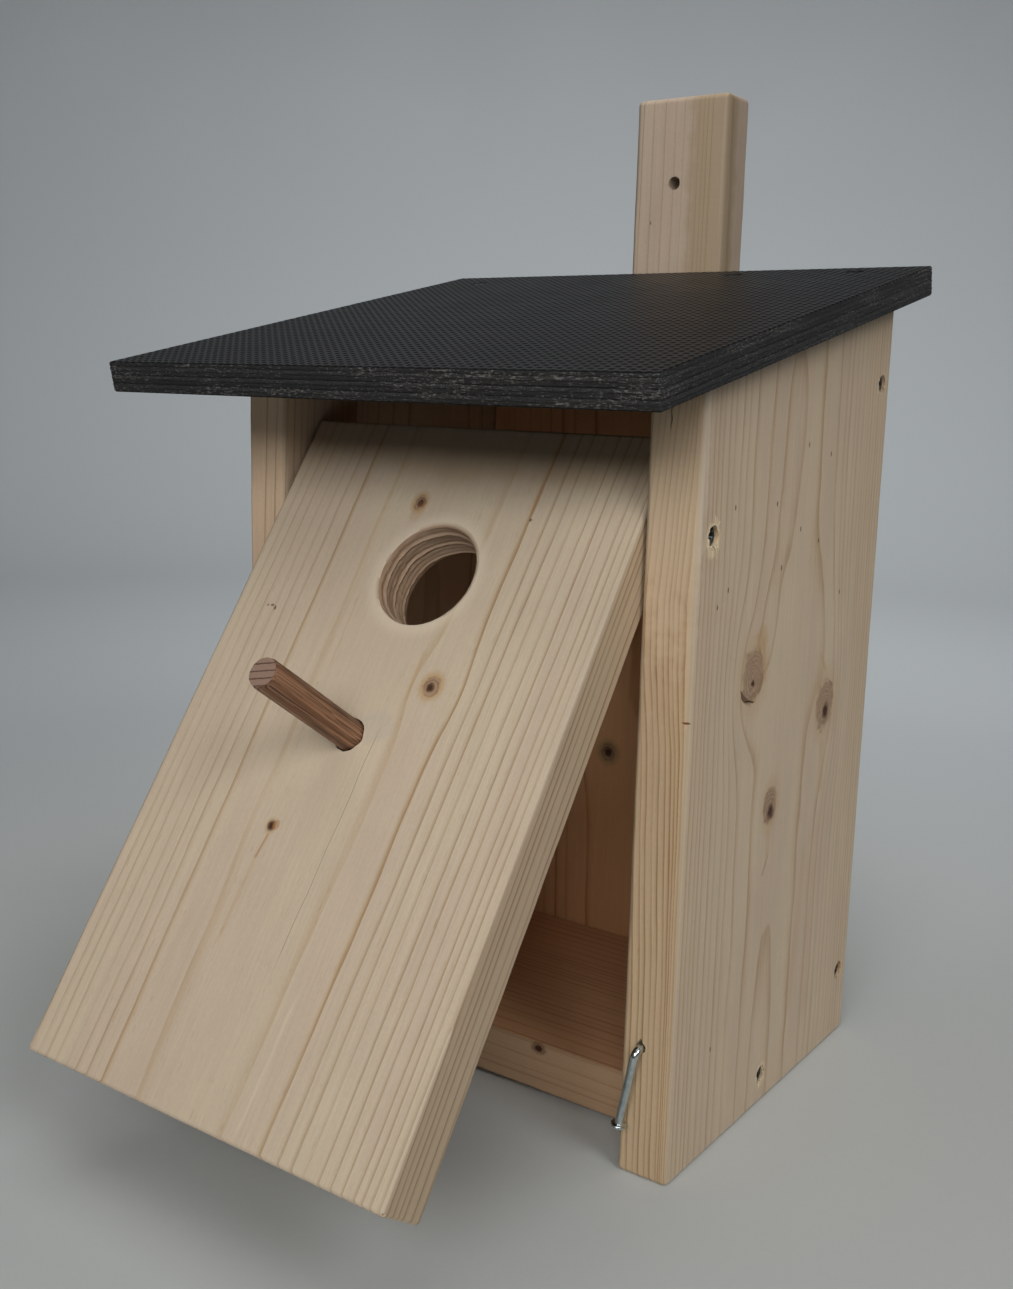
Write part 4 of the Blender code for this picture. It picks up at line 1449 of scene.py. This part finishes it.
# Each sunk screw: radius of its mouth, number of slivers, their length, seed and how far they stand out.
TORN_SCREWS = {"pivot": ("pivot_screw_right", 3.3, 17, 3.4, 5, 0.7),
               "floor": ("floor_screw_right", 3.1, 12, 3.0, 8, 0.5),
               "back": ("back_screw_right_upper", 3.1, 6, 2.2, 9, 0.3)}
MOUTH_DEPTH = 1.15 * MM
for torn, (screw, mouth_radius, slivers, reach_mm, fibre_seed, standing) in TORN_SCREWS.items():
    mouth = screw_place(screw, X_AXIS)[0] @ Matrix.Translation((0, 0, MOUTH_DEPTH))
    splinters(f"fibres_{torn}_right", mouth, mouth_radius * MM, slivers, reach_mm * MM,
        fibre_seed, standing)


# ---------------------------------------------------------------- stage, lights and camera


TABLE_FLAT = 1.3
TABLE_CURVE = 0.8
WALL_TOP = 3


def build_stage():
    """A round photo table that turns up into a wall far behind the box on every side."""
    graph = Graph("pale_table", roughness=0.6)
    place = graph.place_mm()
    x, y, z = graph.split(place)
    far = (x * x + y * y) ** 0.5
    speckle = graph.noise(place, 2, 3, 0.6, 1)
    cloud = graph.noise(place, 240, 2, 0.5, 4)
    pale = graph.mix(cloud, rgb(0.56, 0.585, 0.58), rgb(0.59, 0.615, 0.605))
    colour = graph.mix(graph.remap(far, 180, 620), pale, rgb(0.445, 0.475, 0.495))
    colour = graph.vector("SCALE", colour, scale=graph.remap(z, 100, 1100, 1, 0.74))
    colour = graph.vector("SCALE", colour, scale=speckle * 0.04 + 0.98)
    material = graph.finish(colour, cloud * 0.1 + 0.5, graph.bump(speckle, 5e-05, 0.3))
    profile = [(0.02, 0)] + [(TABLE_FLAT * k / 8, 0) for k in range(1, 9)]
    for step in range(1, 17):
        angle = math.radians(90 * step / 16)
        profile.append((TABLE_FLAT + TABLE_CURVE * math.sin(angle), TABLE_CURVE * (1 - math.cos(angle))))
    profile.append((TABLE_FLAT + TABLE_CURVE, WALL_TOP))
    steps = 96
    verts = []
    for radius, z_at in profile:
        for step in range(steps):
            angle = 2 * math.pi * step / steps
            verts.append(at_angle(radius, angle, z_at))
    faces = [tuple(range(steps))]
    for row in range(len(profile) - 1):
        for i in range(steps):
            j = (i + 1) % steps
            faces.append((row * steps + i, (row + 1) * steps + i, (row + 1) * steps + j, row * steps + j))
    mesh = mesh_from("table", verts, faces)
    mesh.shade_smooth()
    mesh.materials.append(material)
    table = new_object("table", mesh)


def add_light(name, place, target, width, height, power, spread=180):
    data = bpy.data.lights.new(name, "AREA")
    data.shape = "RECTANGLE"
    data.size = width
    data.size_y = height
    data.energy = power
    data.spread = math.radians(spread)
    light = new_object(name, data)
    light.location = place
    light.rotation_euler = (Vector(target) - Vector(place)).to_track_quat("-Z", "Y").to_euler()
    light.visible_camera = False


def around(azimuth, elevation, distance):
    """A place seen from the middle of the box, at an azimuth in degrees to the right of ahead."""
    turn, rise = math.radians(azimuth), math.radians(elevation)
    flat = distance * math.cos(rise)
    return (flat * math.sin(turn), -flat * math.cos(turn), 0.15 + distance * math.sin(rise))


BOUNCE = rgb(1, 0.76, 0.54)
BOUNCE_STRENGTH = 0.06


def build_lights():
    upper = (0, 0, 0.36)
    middle = (0, 0, 0.15)
    add_light("window", around(21, 27, 1.5), upper, 0.95, 0.55, 2.6, 80)
    add_light("right", around(68, 30, 1.3), (0, 0, 0.18), 0.55, 0.45, 1.1, 80)
    add_light("overhead", (0, -0.2, 1.5), middle, 1, 1, 3.8)
    add_light("backdrop", (0.25, 0.35, 1.25), (-1.05, 1.55, 0.1), 0.8, 0.8, 9.5, 110)
    world = bpy.data.worlds.new("studio")
    world.use_nodes = True
    background = world.node_tree.nodes["Background"]
    background.inputs["Color"].default_value = BOUNCE
    background.inputs["Strength"].default_value = BOUNCE_STRENGTH
    bpy.context.scene.world = world
    bpy.context.scene.view_settings.view_transform = "Standard"


CAMERA_PLACE = (0.27304, -0.37507, 0.24699)
CAMERA_YAW = math.radians(35.25)
CAMERA_PITCH = math.radians(10.81)
CAMERA_ROLL = math.radians(1.45)
CAMERA_LENS = 38.6


def build_camera():
    data = bpy.data.cameras.new("camera")
    data.sensor_width = 36
    data.lens = CAMERA_LENS
    data.clip_start = 0.01
    camera = new_object("camera", data)
    turn = Matrix.Rotation(CAMERA_YAW, 4, "Z")
    tilt = Matrix.Rotation(math.radians(90) - CAMERA_PITCH, 4, "X")
    roll = Matrix.Rotation(CAMERA_ROLL, 4, "Z")
    camera.matrix_world = Matrix.Translation(CAMERA_PLACE) @ turn @ tilt @ roll
    bpy.context.scene.camera = camera


build_stage()
build_lights()
build_camera()
